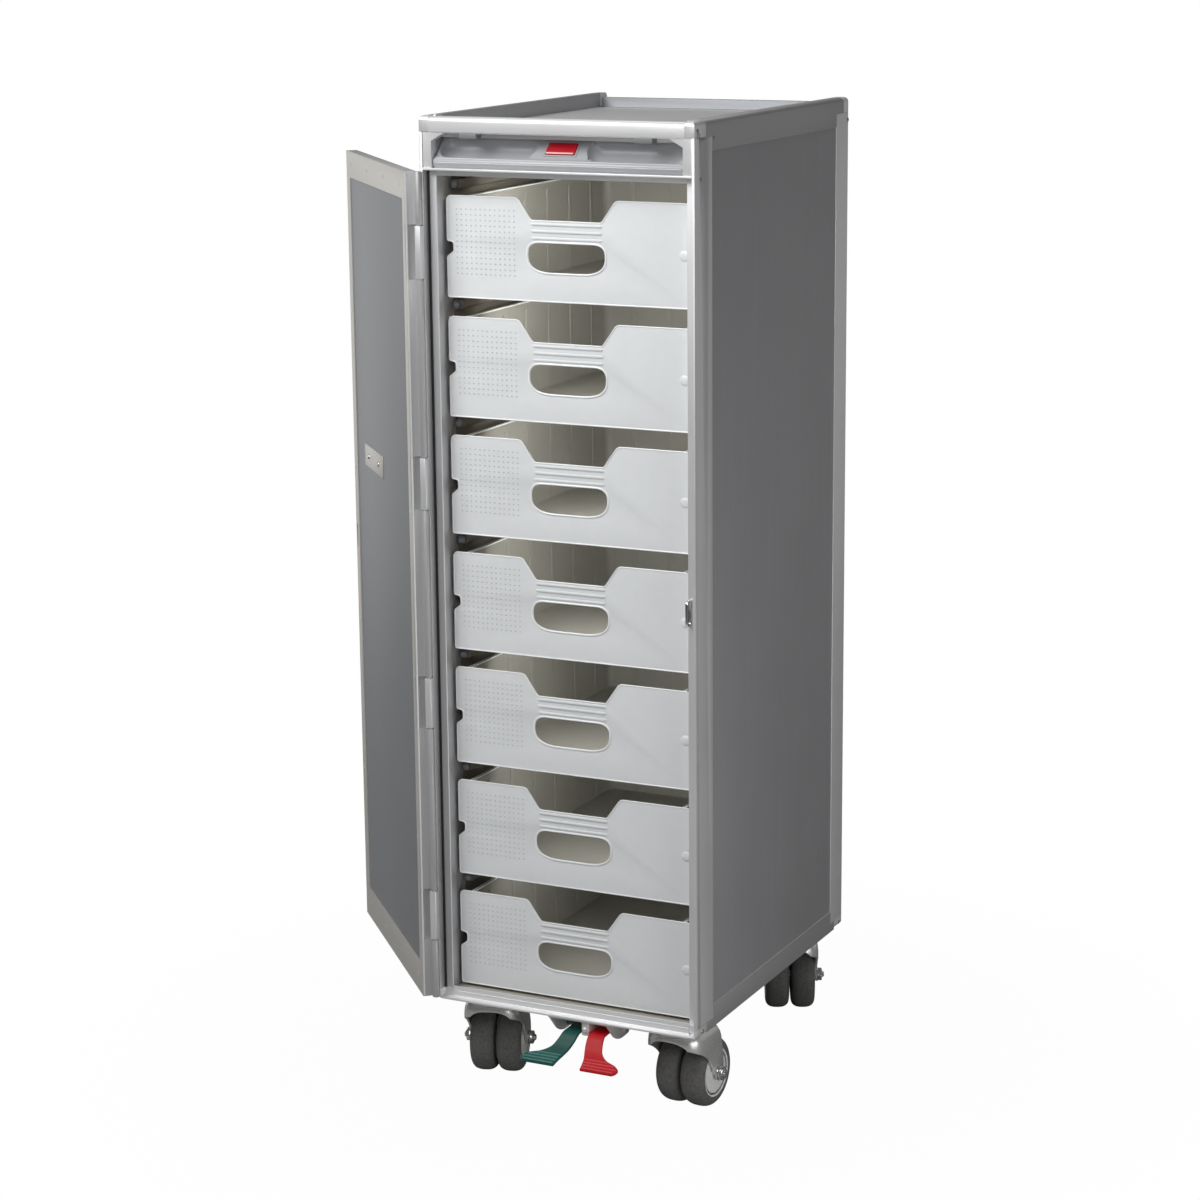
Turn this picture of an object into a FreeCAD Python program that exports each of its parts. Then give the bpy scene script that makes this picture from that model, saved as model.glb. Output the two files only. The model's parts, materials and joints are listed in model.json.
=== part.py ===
"""Half-size airline galley cart, millimetres.

+X right, +Y back, +Z up.  The origin is on the floor under the middle of the body.
The cart stands with its door swung open and its seven drawers pushed in.
"""

import FreeCAD
import Part
import math
import os

V = FreeCAD.Vector

# ---------------------------------------------------------------- driving dimensions
# body
BODY_WIDTH = 301.0
BODY_DEPTH = 405.0
BODY_UNDERSIDE = 102.0
SIDE_RAIL_TOP = 1030.0
WALL = 13.0
FRONT_BAND = 42.0
REAR_BAND = 37.0
TOP_BAND = 30.0
BOTTOM_BAND = 24.0
PANEL_RECESS = 1.0
PANEL_THICKNESS = 9.5
PROFILE_WALL = 2.0
EDGE_ROUND = 5.0
SEAT_GAP = 0.3

# front frame around the door
RIDGE_WIDTH = 3.4
REBATE_DEPTH = 10.5
SILL_RIDGE_HEIGHT = 2.0
SILL_LIP_HEIGHT = 12.2
SILL_STEP_HEIGHT = 7.5
SILL_STEP = 0.8
CROSSBAR_DROP = 52.0
CROSSBAR_RIDGE = 2.2
CROSSBAR_HEIGHT = 8.0
CROSSBAR_DEPTH = 31.0
FASCIA_DROP = 16.2
FASCIA_SETBACK = 1.0
FASCIA_CHAMFER = 8.0
FASCIA_CHAMFER_RUN = 14.4
FASCIA_LINTEL = 1.0
SEAL_WIDTH = 2.2
SEAL_PROUD = 1.2

# top
CAP_WIDTH = 10.5
CAP_FRONT_LENGTH = 27.5
CAP_REAR_LENGTH = 17.0
FOOT_CAP_LENGTH = 26.0
FOOT_CAP_HEIGHT = 10.0
FRONT_RAIL_DROP = 1.0
FRONT_RAIL_DEPTH = 12.0
REAR_RAIL_DROP = 5.0
REAR_RAIL_FOOT = 9.0
TRAY_DROP = 15.0
TRAY_THICKNESS = 7.0
TRAY_GAP = 1.0
CEILING_THICKNESS = 3.0
FLOOR_THICKNESS = 9.0

# drawers and the runners that carry them
DRAWER_COUNT = 7
DRAWER_FREE = 20.0
DRAWER_FLOOR_ROOM = 4.0
DRAWER_TOP_ROOM = 1.0
DRAWER_SIDE_GAP = 3.5
DRAWER_FRONT_SETBACK = 25.0
DRAWER_FRONT_THICKNESS = 2.4
DRAWER_REAR_ROOM = 40.0
DRAWER_SHELL = 2.0
DRAWER_BODY_INSET = 11.0
DRAWER_BODY_DROP = 8.0
DRAWER_CORNER = 5.0
DRAWER_FLANGE = 2.0
DRAWER_RIBS = 4
DRAWER_RIB = 1.6
DRAWER_FLOOR_RISE = 1.0
PULL_NOTCH_MOUTH = 109.0
PULL_NOTCH_FLOOR = 78.0
PULL_NOTCH_DEPTH = 22.0
GRIP_STRIP_HEIGHT = 21.0
GRIP_RIBS = 3
GRIP_RIB = 1.2
GRIP_RIB_HEIGHT = 2.0
HAND_HOLE_WIDTH = 87.0
HAND_HOLE_HEIGHT = 31.0
HAND_HOLE_ROUND = 10.0
HAND_HOLE_HIP = 22.3
HAND_HOLE_HIP_INSET = 2.0
HAND_HOLE_TURN = 14.0
HAND_HOLE_SAG = 2.2
SIDE_NOTCH_DEPTH = 7.5
SIDE_NOTCH_HEIGHT = 12.0
SIDE_NOTCH_RUN = 4.5
RUNNER_HEIGHT = 10.0
RUNNER_REACH = 10.0
RUNNER_BEVEL = 2.0
RUNNER_TIP = 6.0
LINER_THICKNESS = 2.5

# door and its hinges
DOOR_OPEN_ANGLE = 228.0
DOOR_THICKNESS = 12.0
DOOR_OUTER_Y = -3.0
DOOR_SIDE_GAP = 1.1
DOOR_BOTTOM_GAP = 0.8
DOOR_TOP_GAP = 1.0
DOOR_FRAME_FREE = 17.0
DOOR_FRAME_HINGE = 14.0
DOOR_FRAME_TOP = 28.0
DOOR_FRAME_BOTTOM = 35.0
DOOR_PAN_RECESS = 1.0
DOOR_PAN_THICKNESS = 1.5
DOOR_SKIN = 1.5
HINGE_INSET = 0.1
HINGE_Y = -3.8
HINGE_SHARES = (0.10483, 0.37034, 0.63586, 0.90713)
HINGE_LENGTH = 53.0
HINGE_SIZE = 7.4
HINGE_ROUND = 1.6
HINGE_PIN_RADIUS = 1.8
HINGE_EAR = 7.0
HINGE_GAP = 1.2
HINGE_POCKET_DEPTH = 9.0
BEAD_INSET = 0.3
BEAD_WEB_START = 0.8
RUNNING_GAP = 0.05

# door latch
KEEPER_SHARE = 0.50828
KEEPER_HEIGHT = 26.5
KEEPER_REACH = 9.5
KEEPER_WIRE = 2.8
KEEPER_FROM_JAMB = 1.2
KEEPER_FOOT = 1.4
KEEPER_ROUND = 4.55
KEEPER_CLEARANCE = 1.5
LATCH_SHARE = 0.62667
LATCH_FROM_FREE_EDGE = 105.0
LATCH_WIDTH = 92.0
LATCH_HEIGHT = 56.0
LATCH_DEPTH = 7.0
LATCH_RIM = 4.0
PADDLE_GAP = 1.5
PADDLE_THICKNESS = 2.4
PADDLE_PIN_RADIUS = 1.0
PLATE_WIDTH = 90.0
PLATE_HEIGHT = 24.0
PLATE_THICKNESS = 1.0
PLATE_RIVET_OFFSET = 25.2

# carrying handle
HANDLE_FRONT = 3.0
HANDLE_BACK = 29.5
HANDLE_LIP_RISE = 10.0
SCOOP_RADIUS = 14.0
SCOOP_CENTRE_Y = 14.0
SCOOP_CENTRE_RISE = 22.5
SCOOP_RISE = 20.0
HANDLE_UNDERCUT = 2.5
HANDLE_END_WEB = 2.5
HANDLE_END_FOOT = 9.0
HANDLE_END_TOP = 8.0
HANDLE_END_DROP = 3.0
HANDLE_END_GAP = 1.0
BRIDGE_TOP_HALF = 23.0
BRIDGE_FOOT_HALF = 28.0
BRIDGE_FRONT_Y = 8.5
BRIDGE_BACK_INSET = 1.5
BRIDGE_STEP = 1.0
BUTTON_WIDTH = 32.0
BUTTON_LENGTH = 15.0
BUTTON_THICKNESS = 5.0
BUTTON_PROUD = 1.8
BUTTON_TRAVEL = 3.0
CLIP_OFFSET = 96.0
CLIP_WIDTH = 19.0
CLIP_DEPTH = 11.0
CLIP_HEIGHT = 5.0

# casters
CASTER_INSET = 42.5
CASTER_FRONT_Y = 44.0
CASTER_REAR_Y = 50.0
CASTER_TRAIL = 36.0
CASTER_TURNS = {"front_left": 16.0, "front_right": -4.0, "rear_left": 12.0, "rear_right": 25.0}
WHEEL_RADIUS = 37.5
WHEEL_WIDTH = 27.0
WHEEL_GAP = 2.0
TYRE_CROWN = 9.0
SHOULDER_STEPS = 3
HUB_RADIUS = 25.0
HUB_DISH = 2.5
AXLE_RADIUS = 4.0
NUT_ACROSS = 13.0
NUT_LENGTH = 6.0
FORK_SHEET = 2.5
FORK_SIDE_GAP = 1.5
FORK_DROP = 9.0
FORK_SHOULDER = 11.0
FORK_SKIRT = 20.0
FORK_SWEEP_START = 6.0
FORK_SWEEP = 4.6
FORK_EYE = 11.0
FORK_EYE_TURNS = (205, 270, 370)
FORK_BACK_SLOPE = 6.0
FORK_ARCH_RISE = 11.0
SWIVEL_FLANGE = 2.5
SWIVEL_FLANGE_RADIUS = 27.0
SWIVEL_NECK_RADIUS = 20.0
CASTER_PLATE = 3.0
CASTER_PLATE_SIZE = 66.0
KINGPIN_RADIUS = 6.0
KINGPIN_LENGTH = 8.0

# brake pedals
PEDAL_PIVOT_Y = 46.0
PEDAL_PIVOT_DROP = 18.0
PEDAL_SHAFT_RADIUS = 4.0
PEDAL_SHEET = 3.0
PEDAL_REACH = 40.0
PEDAL_TOE_DROP = 36.0
PEDAL_ARM_DROP = 14.0
PEDAL_CENTRE_X = 21.5
PEDAL_HALF_SPREAD = 56.0
PEDAL_INNER = 15.0
PEDAL_ARM_INNER = 5.0
PEDAL_ARM_WIDTH = 18.0
PEDAL_RIBS = 4
PEDAL_RIB_PITCH = 4.6
PEDAL_RISE = 6.0
PEDAL_RIB_START = 1.2
PEDAL_RIB = 0.6
PEDAL_HUB_WALL = 2.5
PEDAL_CORNER = 8.0
PEDAL_CORNER_INSET = 3.0
PEDAL_BEND = 8.0
PEDAL_TAPER_START = 14.0
PEDAL_TAPER_INSET = 4.0
PEDAL_WAIST_FLARE = 8.0
PEDAL_WAIST_LENGTH = 10.0
BRACKET_CENTRE_X = 13.5
BRACKET_HALF = 34.0
BRACKET_SHEET = 2.0
BRACKET_DROP = 27.0
BRACKET_LENGTH = 62.0
BRACKET_SETBACK = 2.0
BRACKET_SLOPE = 26.0
SHAFT_HEAD = 2.0
PEDAL_HUB_GAP = 0.6

# small fasteners
RIVET_RADIUS = 2.4
RIVET_HEIGHT = 1.0
RIVET_TAPER = 0.6
# rivets on the body's sides: back from the front, and down from the side rail or up from the underside
TOP_RIVETS = {"cap": (7.0, 9.5), "rail": (45.4, 18.7), "crossbar": (14.1, 56.4)}
REAR_TOP_RIVET = (5.3, 24.0)
FOOT_RIVET = (15.0, 5.0)
REAR_FOOT_RIVET = (12.0, 5.0)
DOOR_RIVET_SHARES = (0.08, 0.36, 0.64, 0.92)
DOOR_SIDE_RIVET_SHARES = (0.2, 0.4, 0.6, 0.8)
DOOR_HINGE_RIVET_INSET = 8.4

# ---------------------------------------------------------------- places that follow
HALF = BODY_WIDTH / 2
JAMB = HALF - WALL
RIDGE = HALF - RIDGE_WIDTH
FRONT = -BODY_DEPTH / 2
BACK = BODY_DEPTH / 2
LIP_Y = FRONT + REBATE_DEPTH
PANEL_FRONT = FRONT + FRONT_BAND
PANEL_BACK = BACK - REAR_BAND
PANEL_TOP = SIDE_RAIL_TOP - TOP_BAND
PANEL_BOTTOM = BODY_UNDERSIDE + BOTTOM_BAND
FRONT_RAIL_TOP = SIDE_RAIL_TOP - FRONT_RAIL_DROP
REAR_RAIL_TOP = SIDE_RAIL_TOP - REAR_RAIL_DROP
TRAY_TOP = SIDE_RAIL_TOP - TRAY_DROP
TRAY_UNDERSIDE = TRAY_TOP - TRAY_THICKNESS
FASCIA_TOP = SIDE_RAIL_TOP - FASCIA_DROP
POST_TOP = FASCIA_TOP
POST_BOTTOM = BODY_UNDERSIDE + FOOT_CAP_HEIGHT
REBATE_FLOOR = BODY_UNDERSIDE + SILL_RIDGE_HEIGHT
SILL_STEP_Z = BODY_UNDERSIDE + SILL_STEP_HEIGHT
SILL_LIP_TOP = BODY_UNDERSIDE + SILL_LIP_HEIGHT
FLOOR_TOP = BODY_UNDERSIDE + FLOOR_THICKNESS
CROSSBAR_TOP = SIDE_RAIL_TOP - CROSSBAR_DROP
CROSSBAR_RIDGE_Z = CROSSBAR_TOP - CROSSBAR_RIDGE
OPENING_TOP = CROSSBAR_TOP - CROSSBAR_HEIGHT
LINER_OUTER = JAMB + LINER_THICKNESS
DOOR_LEFT = -RIDGE + DOOR_SIDE_GAP
DOOR_RIGHT = RIDGE - DOOR_SIDE_GAP
DOOR_BOTTOM = REBATE_FLOOR + DOOR_BOTTOM_GAP
DOOR_TOP = CROSSBAR_RIDGE_Z - DOOR_TOP_GAP
DOOR_HEIGHT = DOOR_TOP - DOOR_BOTTOM
DOOR_OUTER = FRONT + DOOR_OUTER_Y
DOOR_INNER = DOOR_OUTER + DOOR_THICKNESS
HINGE_X = -HALF + HINGE_INSET
HINGE_AXIS_Y = FRONT + HINGE_Y
HINGE_HEIGHTS = [DOOR_BOTTOM + DOOR_HEIGHT * share for share in HINGE_SHARES]
KEEPER_Z = DOOR_BOTTOM + DOOR_HEIGHT * KEEPER_SHARE
LATCH_Z = DOOR_BOTTOM + DOOR_HEIGHT * LATCH_SHARE
DRAWER_HALF = JAMB - DRAWER_SIDE_GAP
DRAWER_FRONT = FRONT + DRAWER_FRONT_SETBACK
DRAWER_BACK = BACK - DRAWER_REAR_ROOM
DRAWER_FIRST_Z = FLOOR_TOP + DRAWER_FLOOR_ROOM
DRAWER_PITCH = (OPENING_TOP - DRAWER_TOP_ROOM - DRAWER_FIRST_Z) / DRAWER_COUNT
DRAWER_HEIGHT = DRAWER_PITCH - DRAWER_FREE
RUNNER_PITCH = DRAWER_PITCH / 2
HANDLE_LIP_TOP = CROSSBAR_TOP + HANDLE_LIP_RISE
HANDLE_BACK_TOP = TRAY_UNDERSIDE
SCOOP_CENTRE_Z = CROSSBAR_TOP + SCOOP_CENTRE_RISE
CASTER_X = HALF - CASTER_INSET
FORK_TOP = BODY_UNDERSIDE - FORK_DROP
PEDAL_PIVOT_Z = BODY_UNDERSIDE - PEDAL_PIVOT_DROP
PEDAL_TOE_Z = BODY_UNDERSIDE - PEDAL_TOE_DROP
PEDAL_ARM_Z = BODY_UNDERSIDE - PEDAL_ARM_DROP
BRACKET_BOTTOM = BODY_UNDERSIDE - BRACKET_DROP


# ---------------------------------------------------------------- small makers
def box(x0, x1, y0, y1, z0, z1):
    """A block between two corners."""
    return Part.makeBox(x1 - x0, y1 - y0, z1 - z0, V(x0, y0, z0))


def polygon(points):
    """A flat face through points given in order."""
    return Part.Face(Part.makePolygon([V(*p) for p in points] + [V(*points[0])]))


def prism_z(points, z0, z1):
    """An (x, y) outline raised from z0 to z1."""
    return polygon([(x, y, z0) for x, y in points]).extrude(V(0, 0, z1 - z0))


def prism_x(points, x0, x1):
    """A (y, z) outline drawn along X."""
    return polygon([(x0, y, z) for y, z in points]).extrude(V(x1 - x0, 0, 0))


def prism_y(points, y0, y1):
    """An (x, z) outline drawn along Y."""
    return polygon([(x, y0, z) for x, z in points]).extrude(V(0, y1 - y0, 0))


def rod(centre, direction, radius, length):
    """A round bar that starts at centre."""
    return Part.makeCylinder(radius, length, V(*centre), V(*direction))


def curve(points):
    """A smooth edge through points, each (x, y, z)."""
    line = Part.BSplineCurve()
    line.interpolate([V(*p) for p in points])
    return line.toShape()


def arc(first, middle, last):
    return Part.Arc(V(*first), V(*middle), V(*last)).toShape()


def line(first, last):
    return Part.LineSegment(V(*first), V(*last)).toShape()


def sheet_face(edges):
    return Part.Face(Part.Wire(edges))


def mirrored(shape):
    """The same piece on the other side of the cart."""
    return shape.mirror(V(0, 0, 0), V(1, 0, 0))


def soften(shape, radius, chosen):
    """Round the edges that chosen picks."""
    edges = [e for e in shape.Edges if chosen(e)]
    return shape.makeFillet(radius, edges)


def joined(shapes):
    """One solid from touching pieces."""
    whole = shapes[0].multiFuse(shapes[1:])
    return whole.removeSplitter()


def group(shapes):
    """Separate solids kept in one node."""
    return Part.makeCompound(shapes)


def upright(edge):
    """Whether an edge runs straight up."""
    a, b = edge.Vertexes[0].Point, edge.Vertexes[-1].Point
    return abs(a.x - b.x) < 1e-6 and abs(a.y - b.y) < 1e-6


def rivet(x, y, z, direction):
    """A low tapered rivet head that sits on a face."""
    return Part.makeCone(RIVET_RADIUS, RIVET_RADIUS * RIVET_TAPER, RIVET_HEIGHT, V(x, y, z), V(*direction))


# ---------------------------------------------------------------- posts and rails
def front_post_left():
    """Hollow corner extrusion, and the ridge in front of it that makes the door's rebate."""
    outer = box(-HALF, -JAMB, LIP_Y, PANEL_FRONT, POST_BOTTOM, POST_TOP)
    hollow = box(-HALF + PROFILE_WALL, -JAMB - PROFILE_WALL, LIP_Y + PROFILE_WALL, PANEL_FRONT - PROFILE_WALL,
                 POST_BOTTOM, POST_TOP)
    ridge = box(-HALF, -RIDGE, FRONT, LIP_Y, POST_BOTTOM, POST_TOP)
    return group([outer.cut(hollow), ridge])


def rear_post_left():
    """Hollow corner extrusion with a rounded outer corner."""
    outer = box(-HALF, -JAMB, PANEL_BACK, BACK, POST_BOTTOM, POST_TOP)
    outer = soften(outer, EDGE_ROUND, lambda e: upright(e) and e.CenterOfMass.x < -HALF + 1 and
                   e.CenterOfMass.y > BACK - 1)
    hollow = box(-HALF + PROFILE_WALL, -JAMB - PROFILE_WALL, PANEL_BACK + PROFILE_WALL,
                 BACK - EDGE_ROUND, POST_BOTTOM, SIDE_RAIL_TOP)
    return outer.cut(hollow)


def top_side_rail_left():
    """The raised side rail; its lower flange covers the panel's top edge."""
    y0, y1 = FRONT + CAP_FRONT_LENGTH, BACK - CAP_REAR_LENGTH
    upper = box(-HALF, -JAMB, y0, y1, POST_TOP, SIDE_RAIL_TOP)
    upper = soften(upper, EDGE_ROUND, lambda e: e.CenterOfMass.x < -HALF + 1 and
                   e.CenterOfMass.z > SIDE_RAIL_TOP - 1 and e.Length > WALL * 2)
    lower = box(-HALF, -JAMB, PANEL_FRONT, PANEL_BACK, PANEL_TOP, POST_TOP)
    return joined([upper, lower])


def bottom_side_rail_left():
    """The foot rail under the side panel."""
    low = box(-HALF, -JAMB, FRONT + FOOT_CAP_LENGTH, BACK - FOOT_CAP_LENGTH, BODY_UNDERSIDE, POST_BOTTOM)
    high = box(-HALF, -JAMB, PANEL_FRONT, PANEL_BACK, POST_BOTTOM, PANEL_BOTTOM)
    return joined([low, high])


def top_rail_front():
    """Bull-nosed rail across the front of the worktop."""
    inner = HALF - CAP_WIDTH
    rail = box(-inner, inner, FRONT, FRONT + FRONT_RAIL_DEPTH, POST_TOP, FRONT_RAIL_TOP)
    return soften(rail, EDGE_ROUND, lambda e: e.CenterOfMass.y < FRONT + 1 and
                  e.CenterOfMass.z > FRONT_RAIL_TOP - 1 and e.Length > WALL * 2)


def top_rail_rear():
    """Rear rail with a low foot that meets the tray."""
    foot_front = BACK - WALL - REAR_RAIL_FOOT
    outline = [
        (foot_front, TRAY_UNDERSIDE),
        (foot_front, TRAY_TOP - SEAT_GAP),
        (BACK - WALL, TRAY_TOP - SEAT_GAP),
        (BACK - WALL, REAR_RAIL_TOP),
        (BACK, REAR_RAIL_TOP),
        (BACK, PANEL_TOP),
        (BACK - WALL, PANEL_TOP),
        (BACK - WALL, TRAY_UNDERSIDE),
    ]
    rail = prism_x(outline, -JAMB, JAMB)
    return soften(rail, EDGE_ROUND, lambda e: e.CenterOfMass.y > BACK - 1 and
                  e.CenterOfMass.z > REAR_RAIL_TOP - 1 and e.Length > WALL * 2)


def front_sill():
    """Threshold extrusion: low ridge, rebate floor and stepped lip."""
    outline = [
        (FRONT, BODY_UNDERSIDE),
        (FRONT, REBATE_FLOOR),
        (LIP_Y - SILL_STEP, REBATE_FLOOR),
        (LIP_Y - SILL_STEP, SILL_STEP_Z),
        (LIP_Y, SILL_STEP_Z),
        (LIP_Y, SILL_LIP_TOP),
        (LIP_Y + PROFILE_WALL, SILL_LIP_TOP),
        (LIP_Y + PROFILE_WALL, BODY_UNDERSIDE),
    ]
    wide = prism_x(outline, -JAMB, JAMB)
    ledge = HALF - CAP_WIDTH
    nose = box(-ledge, ledge, FRONT, LIP_Y - SILL_STEP, BODY_UNDERSIDE, REBATE_FLOOR)
    return joined([wide, nose])


def bottom_rail_rear():
    """Foot rail under the back panel."""
    return box(-JAMB, JAMB, BACK - WALL, BACK, BODY_UNDERSIDE, PANEL_BOTTOM)


def crossbar():
    """Bar between the handle bay and the door opening."""
    front = box(-RIDGE, RIDGE, FRONT, LIP_Y, CROSSBAR_RIDGE_Z, CROSSBAR_TOP)
    rear = box(-JAMB, JAMB, LIP_Y, FRONT + CROSSBAR_DEPTH, OPENING_TOP, CROSSBAR_TOP)
    return joined([front, rear])


def handle_fascia():
    """Plate round the handle bay with chamfered upper corners."""
    side = RIDGE - SEAT_GAP
    low, high = CROSSBAR_TOP, FASCIA_TOP
    plate = box(-side, side, FRONT + FASCIA_SETBACK, LIP_Y, low, high)
    lintel = high - FASCIA_LINTEL
    bay = [
        (-JAMB, low),
        (JAMB, low),
        (JAMB, lintel - FASCIA_CHAMFER),
        (JAMB - FASCIA_CHAMFER_RUN, lintel),
        (-JAMB + FASCIA_CHAMFER_RUN, lintel),
        (-JAMB, lintel - FASCIA_CHAMFER),
    ]
    return plate.cut(prism_y(bay, FRONT, FRONT + FRONT_BAND))


def corner_caps():
    """Cast corner pieces: four at the top, four at the foot."""
    caps = []
    top_front = box(-HALF, -HALF + CAP_WIDTH, FRONT, FRONT + CAP_FRONT_LENGTH, POST_TOP, SIDE_RAIL_TOP)
    top_front = joined([top_front, box(-HALF, -JAMB, FRONT + FRONT_RAIL_DEPTH, FRONT + CAP_FRONT_LENGTH,
                                       POST_TOP, SIDE_RAIL_TOP)])
    top_front = soften(top_front, EDGE_ROUND, lambda e: e.CenterOfMass.z > SIDE_RAIL_TOP - 1 and
                       (e.CenterOfMass.x < -HALF + 1 or e.CenterOfMass.y < FRONT + 1))
    caps.append(top_front)
    top_rear = box(-HALF, -JAMB, BACK - CAP_REAR_LENGTH, BACK, POST_TOP, SIDE_RAIL_TOP)
    top_rear = soften(top_rear, EDGE_ROUND, lambda e: (e.CenterOfMass.z > SIDE_RAIL_TOP - 1 and
                      (e.CenterOfMass.x < -HALF + 1 or e.CenterOfMass.y > BACK - 1)) or
                      (upright(e) and e.CenterOfMass.x < -HALF + 1 and e.CenterOfMass.y > BACK - 1))
    caps.append(top_rear)
    foot_front = box(-HALF, -JAMB, FRONT, FRONT + FOOT_CAP_LENGTH, BODY_UNDERSIDE, POST_BOTTOM)
    foot_front = soften(foot_front, EDGE_ROUND, lambda e: e.CenterOfMass.z < BODY_UNDERSIDE + 1 and
                        (e.CenterOfMass.x < -HALF + 1))
    foot_front = foot_front.cut(box(-RIDGE, -JAMB, FRONT, LIP_Y, REBATE_FLOOR, POST_BOTTOM))
    foot_front = foot_front.cut(box(-HALF + CAP_WIDTH, -JAMB, FRONT, LIP_Y, BODY_UNDERSIDE, REBATE_FLOOR))
    caps.append(foot_front)
    foot_rear = box(-HALF, -JAMB, BACK - FOOT_CAP_LENGTH, BACK, BODY_UNDERSIDE, POST_BOTTOM)
    foot_rear = soften(foot_rear, EDGE_ROUND, lambda e: (upright(e) or
                       e.CenterOfMass.z < BODY_UNDERSIDE + 1) and
                       e.CenterOfMass.x < -HALF + 1 and (not upright(e) or e.CenterOfMass.y > BACK - 1))
    caps.append(foot_rear)
    return group(caps + [mirrored(c) for c in caps])


# ---------------------------------------------------------------- panels
def side_panel_left():
    """Sandwich panel, set slightly below the faces of its frame."""
    outer = -HALF + PANEL_RECESS
    return box(outer, -LINER_OUTER, PANEL_FRONT, PANEL_BACK, PANEL_BOTTOM, PANEL_TOP)


def back_panel():
    """Closed rear panel between the rear posts."""
    y1 = BACK - PANEL_RECESS
    return box(-JAMB, JAMB, y1 - PANEL_THICKNESS, y1, PANEL_BOTTOM, PANEL_TOP)


def worktop_tray():
    """Recessed worktop between the raised rails."""
    y1 = BACK - WALL - REAR_RAIL_FOOT - TRAY_GAP
    return box(-JAMB, JAMB, FRONT + FRONT_RAIL_DEPTH, y1, TRAY_UNDERSIDE, TRAY_TOP)


def ceiling_panel():
    """Inner ceiling over the drawers."""
    return box(-JAMB, JAMB, FRONT + CROSSBAR_DEPTH, BACK - WALL, OPENING_TOP, OPENING_TOP + CEILING_THICKNESS)


def base_panel():
    """Floor of the body; the casters bolt to its underside."""
    return box(-JAMB, JAMB, LIP_Y + PROFILE_WALL, BACK - WALL, BODY_UNDERSIDE, FLOOR_TOP)


# ---------------------------------------------------------------- runners
def runner_levels():
    """Mid height of every runner, from the lowest up."""
    first = DRAWER_FIRST_Z + DRAWER_HEIGHT / 2
    return [first + RUNNER_PITCH * n for n in range(DRAWER_COUNT * 2)]


def runner_liner_left():
    """Inner wall sheet with a bevelled runner riveted on at every level."""
    sheet = box(-LINER_OUTER, -JAMB, PANEL_FRONT, PANEL_BACK, PANEL_BOTTOM, PANEL_TOP)
    root, tip = -JAMB, -JAMB + RUNNER_REACH
    runners = []
    for z in runner_levels():
        low, high = z - RUNNER_HEIGHT / 2, z + RUNNER_HEIGHT / 2
        section = [(root, low), (tip - RUNNER_BEVEL, low), (tip, low + RUNNER_BEVEL), (tip, high),
                   (root, high)]
        runners.append(prism_y(section, PANEL_FRONT, PANEL_BACK))
    return group([sheet] + runners)


def runner_tips():
    """Plastic lead-in noses on the front ends of the runners."""
    noses = []
    for z in runner_levels():
        low, high = z - RUNNER_HEIGHT / 2, z + RUNNER_HEIGHT / 2
        x0, x1 = -JAMB, -JAMB + RUNNER_REACH
        nose = [(x0, PANEL_FRONT), (x1, PANEL_FRONT), (x1 - RUNNER_TIP / 2, PANEL_FRONT - RUNNER_TIP),
                (x0, PANEL_FRONT - RUNNER_TIP)]
        noses.append(prism_z(nose, low, high))
    return group(noses + [mirrored(n) for n in noses])


# ---------------------------------------------------------------- drawers
def drawer_front(z):
    """Front plate: pull notch, hand hole, chamfered corners and side notches."""
    top, w = z + DRAWER_HEIGHT, DRAWER_HALF
    middle = z + DRAWER_HEIGHT / 2
    half, deep = SIDE_NOTCH_HEIGHT / 2, SIDE_NOTCH_DEPTH
    right = [
        (w, z),
        (w, middle - half - SIDE_NOTCH_RUN),
        (w - deep, middle - half),
        (w - deep, middle + half),
        (w, middle + half),
        (w, top - DRAWER_CORNER),
        (w - DRAWER_CORNER, top),
        (PULL_NOTCH_MOUTH / 2, top),
        (PULL_NOTCH_FLOOR / 2, top - PULL_NOTCH_DEPTH),
    ]
    outline = right + [(-x, h) for x, h in reversed(right)]
    plate = prism_y(outline, DRAWER_FRONT, DRAWER_FRONT + DRAWER_FRONT_THICKNESS)
    return plate.cut(hand_hole(z))


def hand_hole(z):
    """Hole for the fingers: flat top, bulged lower edge."""
    top = z + DRAWER_HEIGHT - PULL_NOTCH_DEPTH - GRIP_STRIP_HEIGHT
    r, w = HAND_HOLE_ROUND, HAND_HOLE_WIDTH / 2
    y = DRAWER_FRONT - 1
    bottom, hip = top - HAND_HOLE_HEIGHT, top - HAND_HOLE_HIP
    side, turn, low = w - HAND_HOLE_HIP_INSET, w - HAND_HOLE_TURN, bottom + HAND_HOLE_SAG
    c = r * (1 - math.sqrt(0.5))
    edges = [
        Part.LineSegment(V(-w + r, y, top), V(w - r, y, top)).toShape(),
        Part.Arc(V(w - r, y, top), V(w - c, y, top - c), V(w, y, top - r)).toShape(),
        Part.Arc(V(w, y, top - r), V(side, y, hip), V(turn, y, low)).toShape(),
        Part.Arc(V(turn, y, low), V(0, y, bottom), V(-turn, y, low)).toShape(),
        Part.Arc(V(-turn, y, low), V(-side, y, hip), V(-w, y, top - r)).toShape(),
        Part.Arc(V(-w, y, top - r), V(-w + c, y, top - c), V(-w + r, y, top)).toShape(),
    ]
    return Part.Face(Part.Wire(edges)).extrude(V(0, DRAWER_FRONT_THICKNESS + 2, 0))


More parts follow.
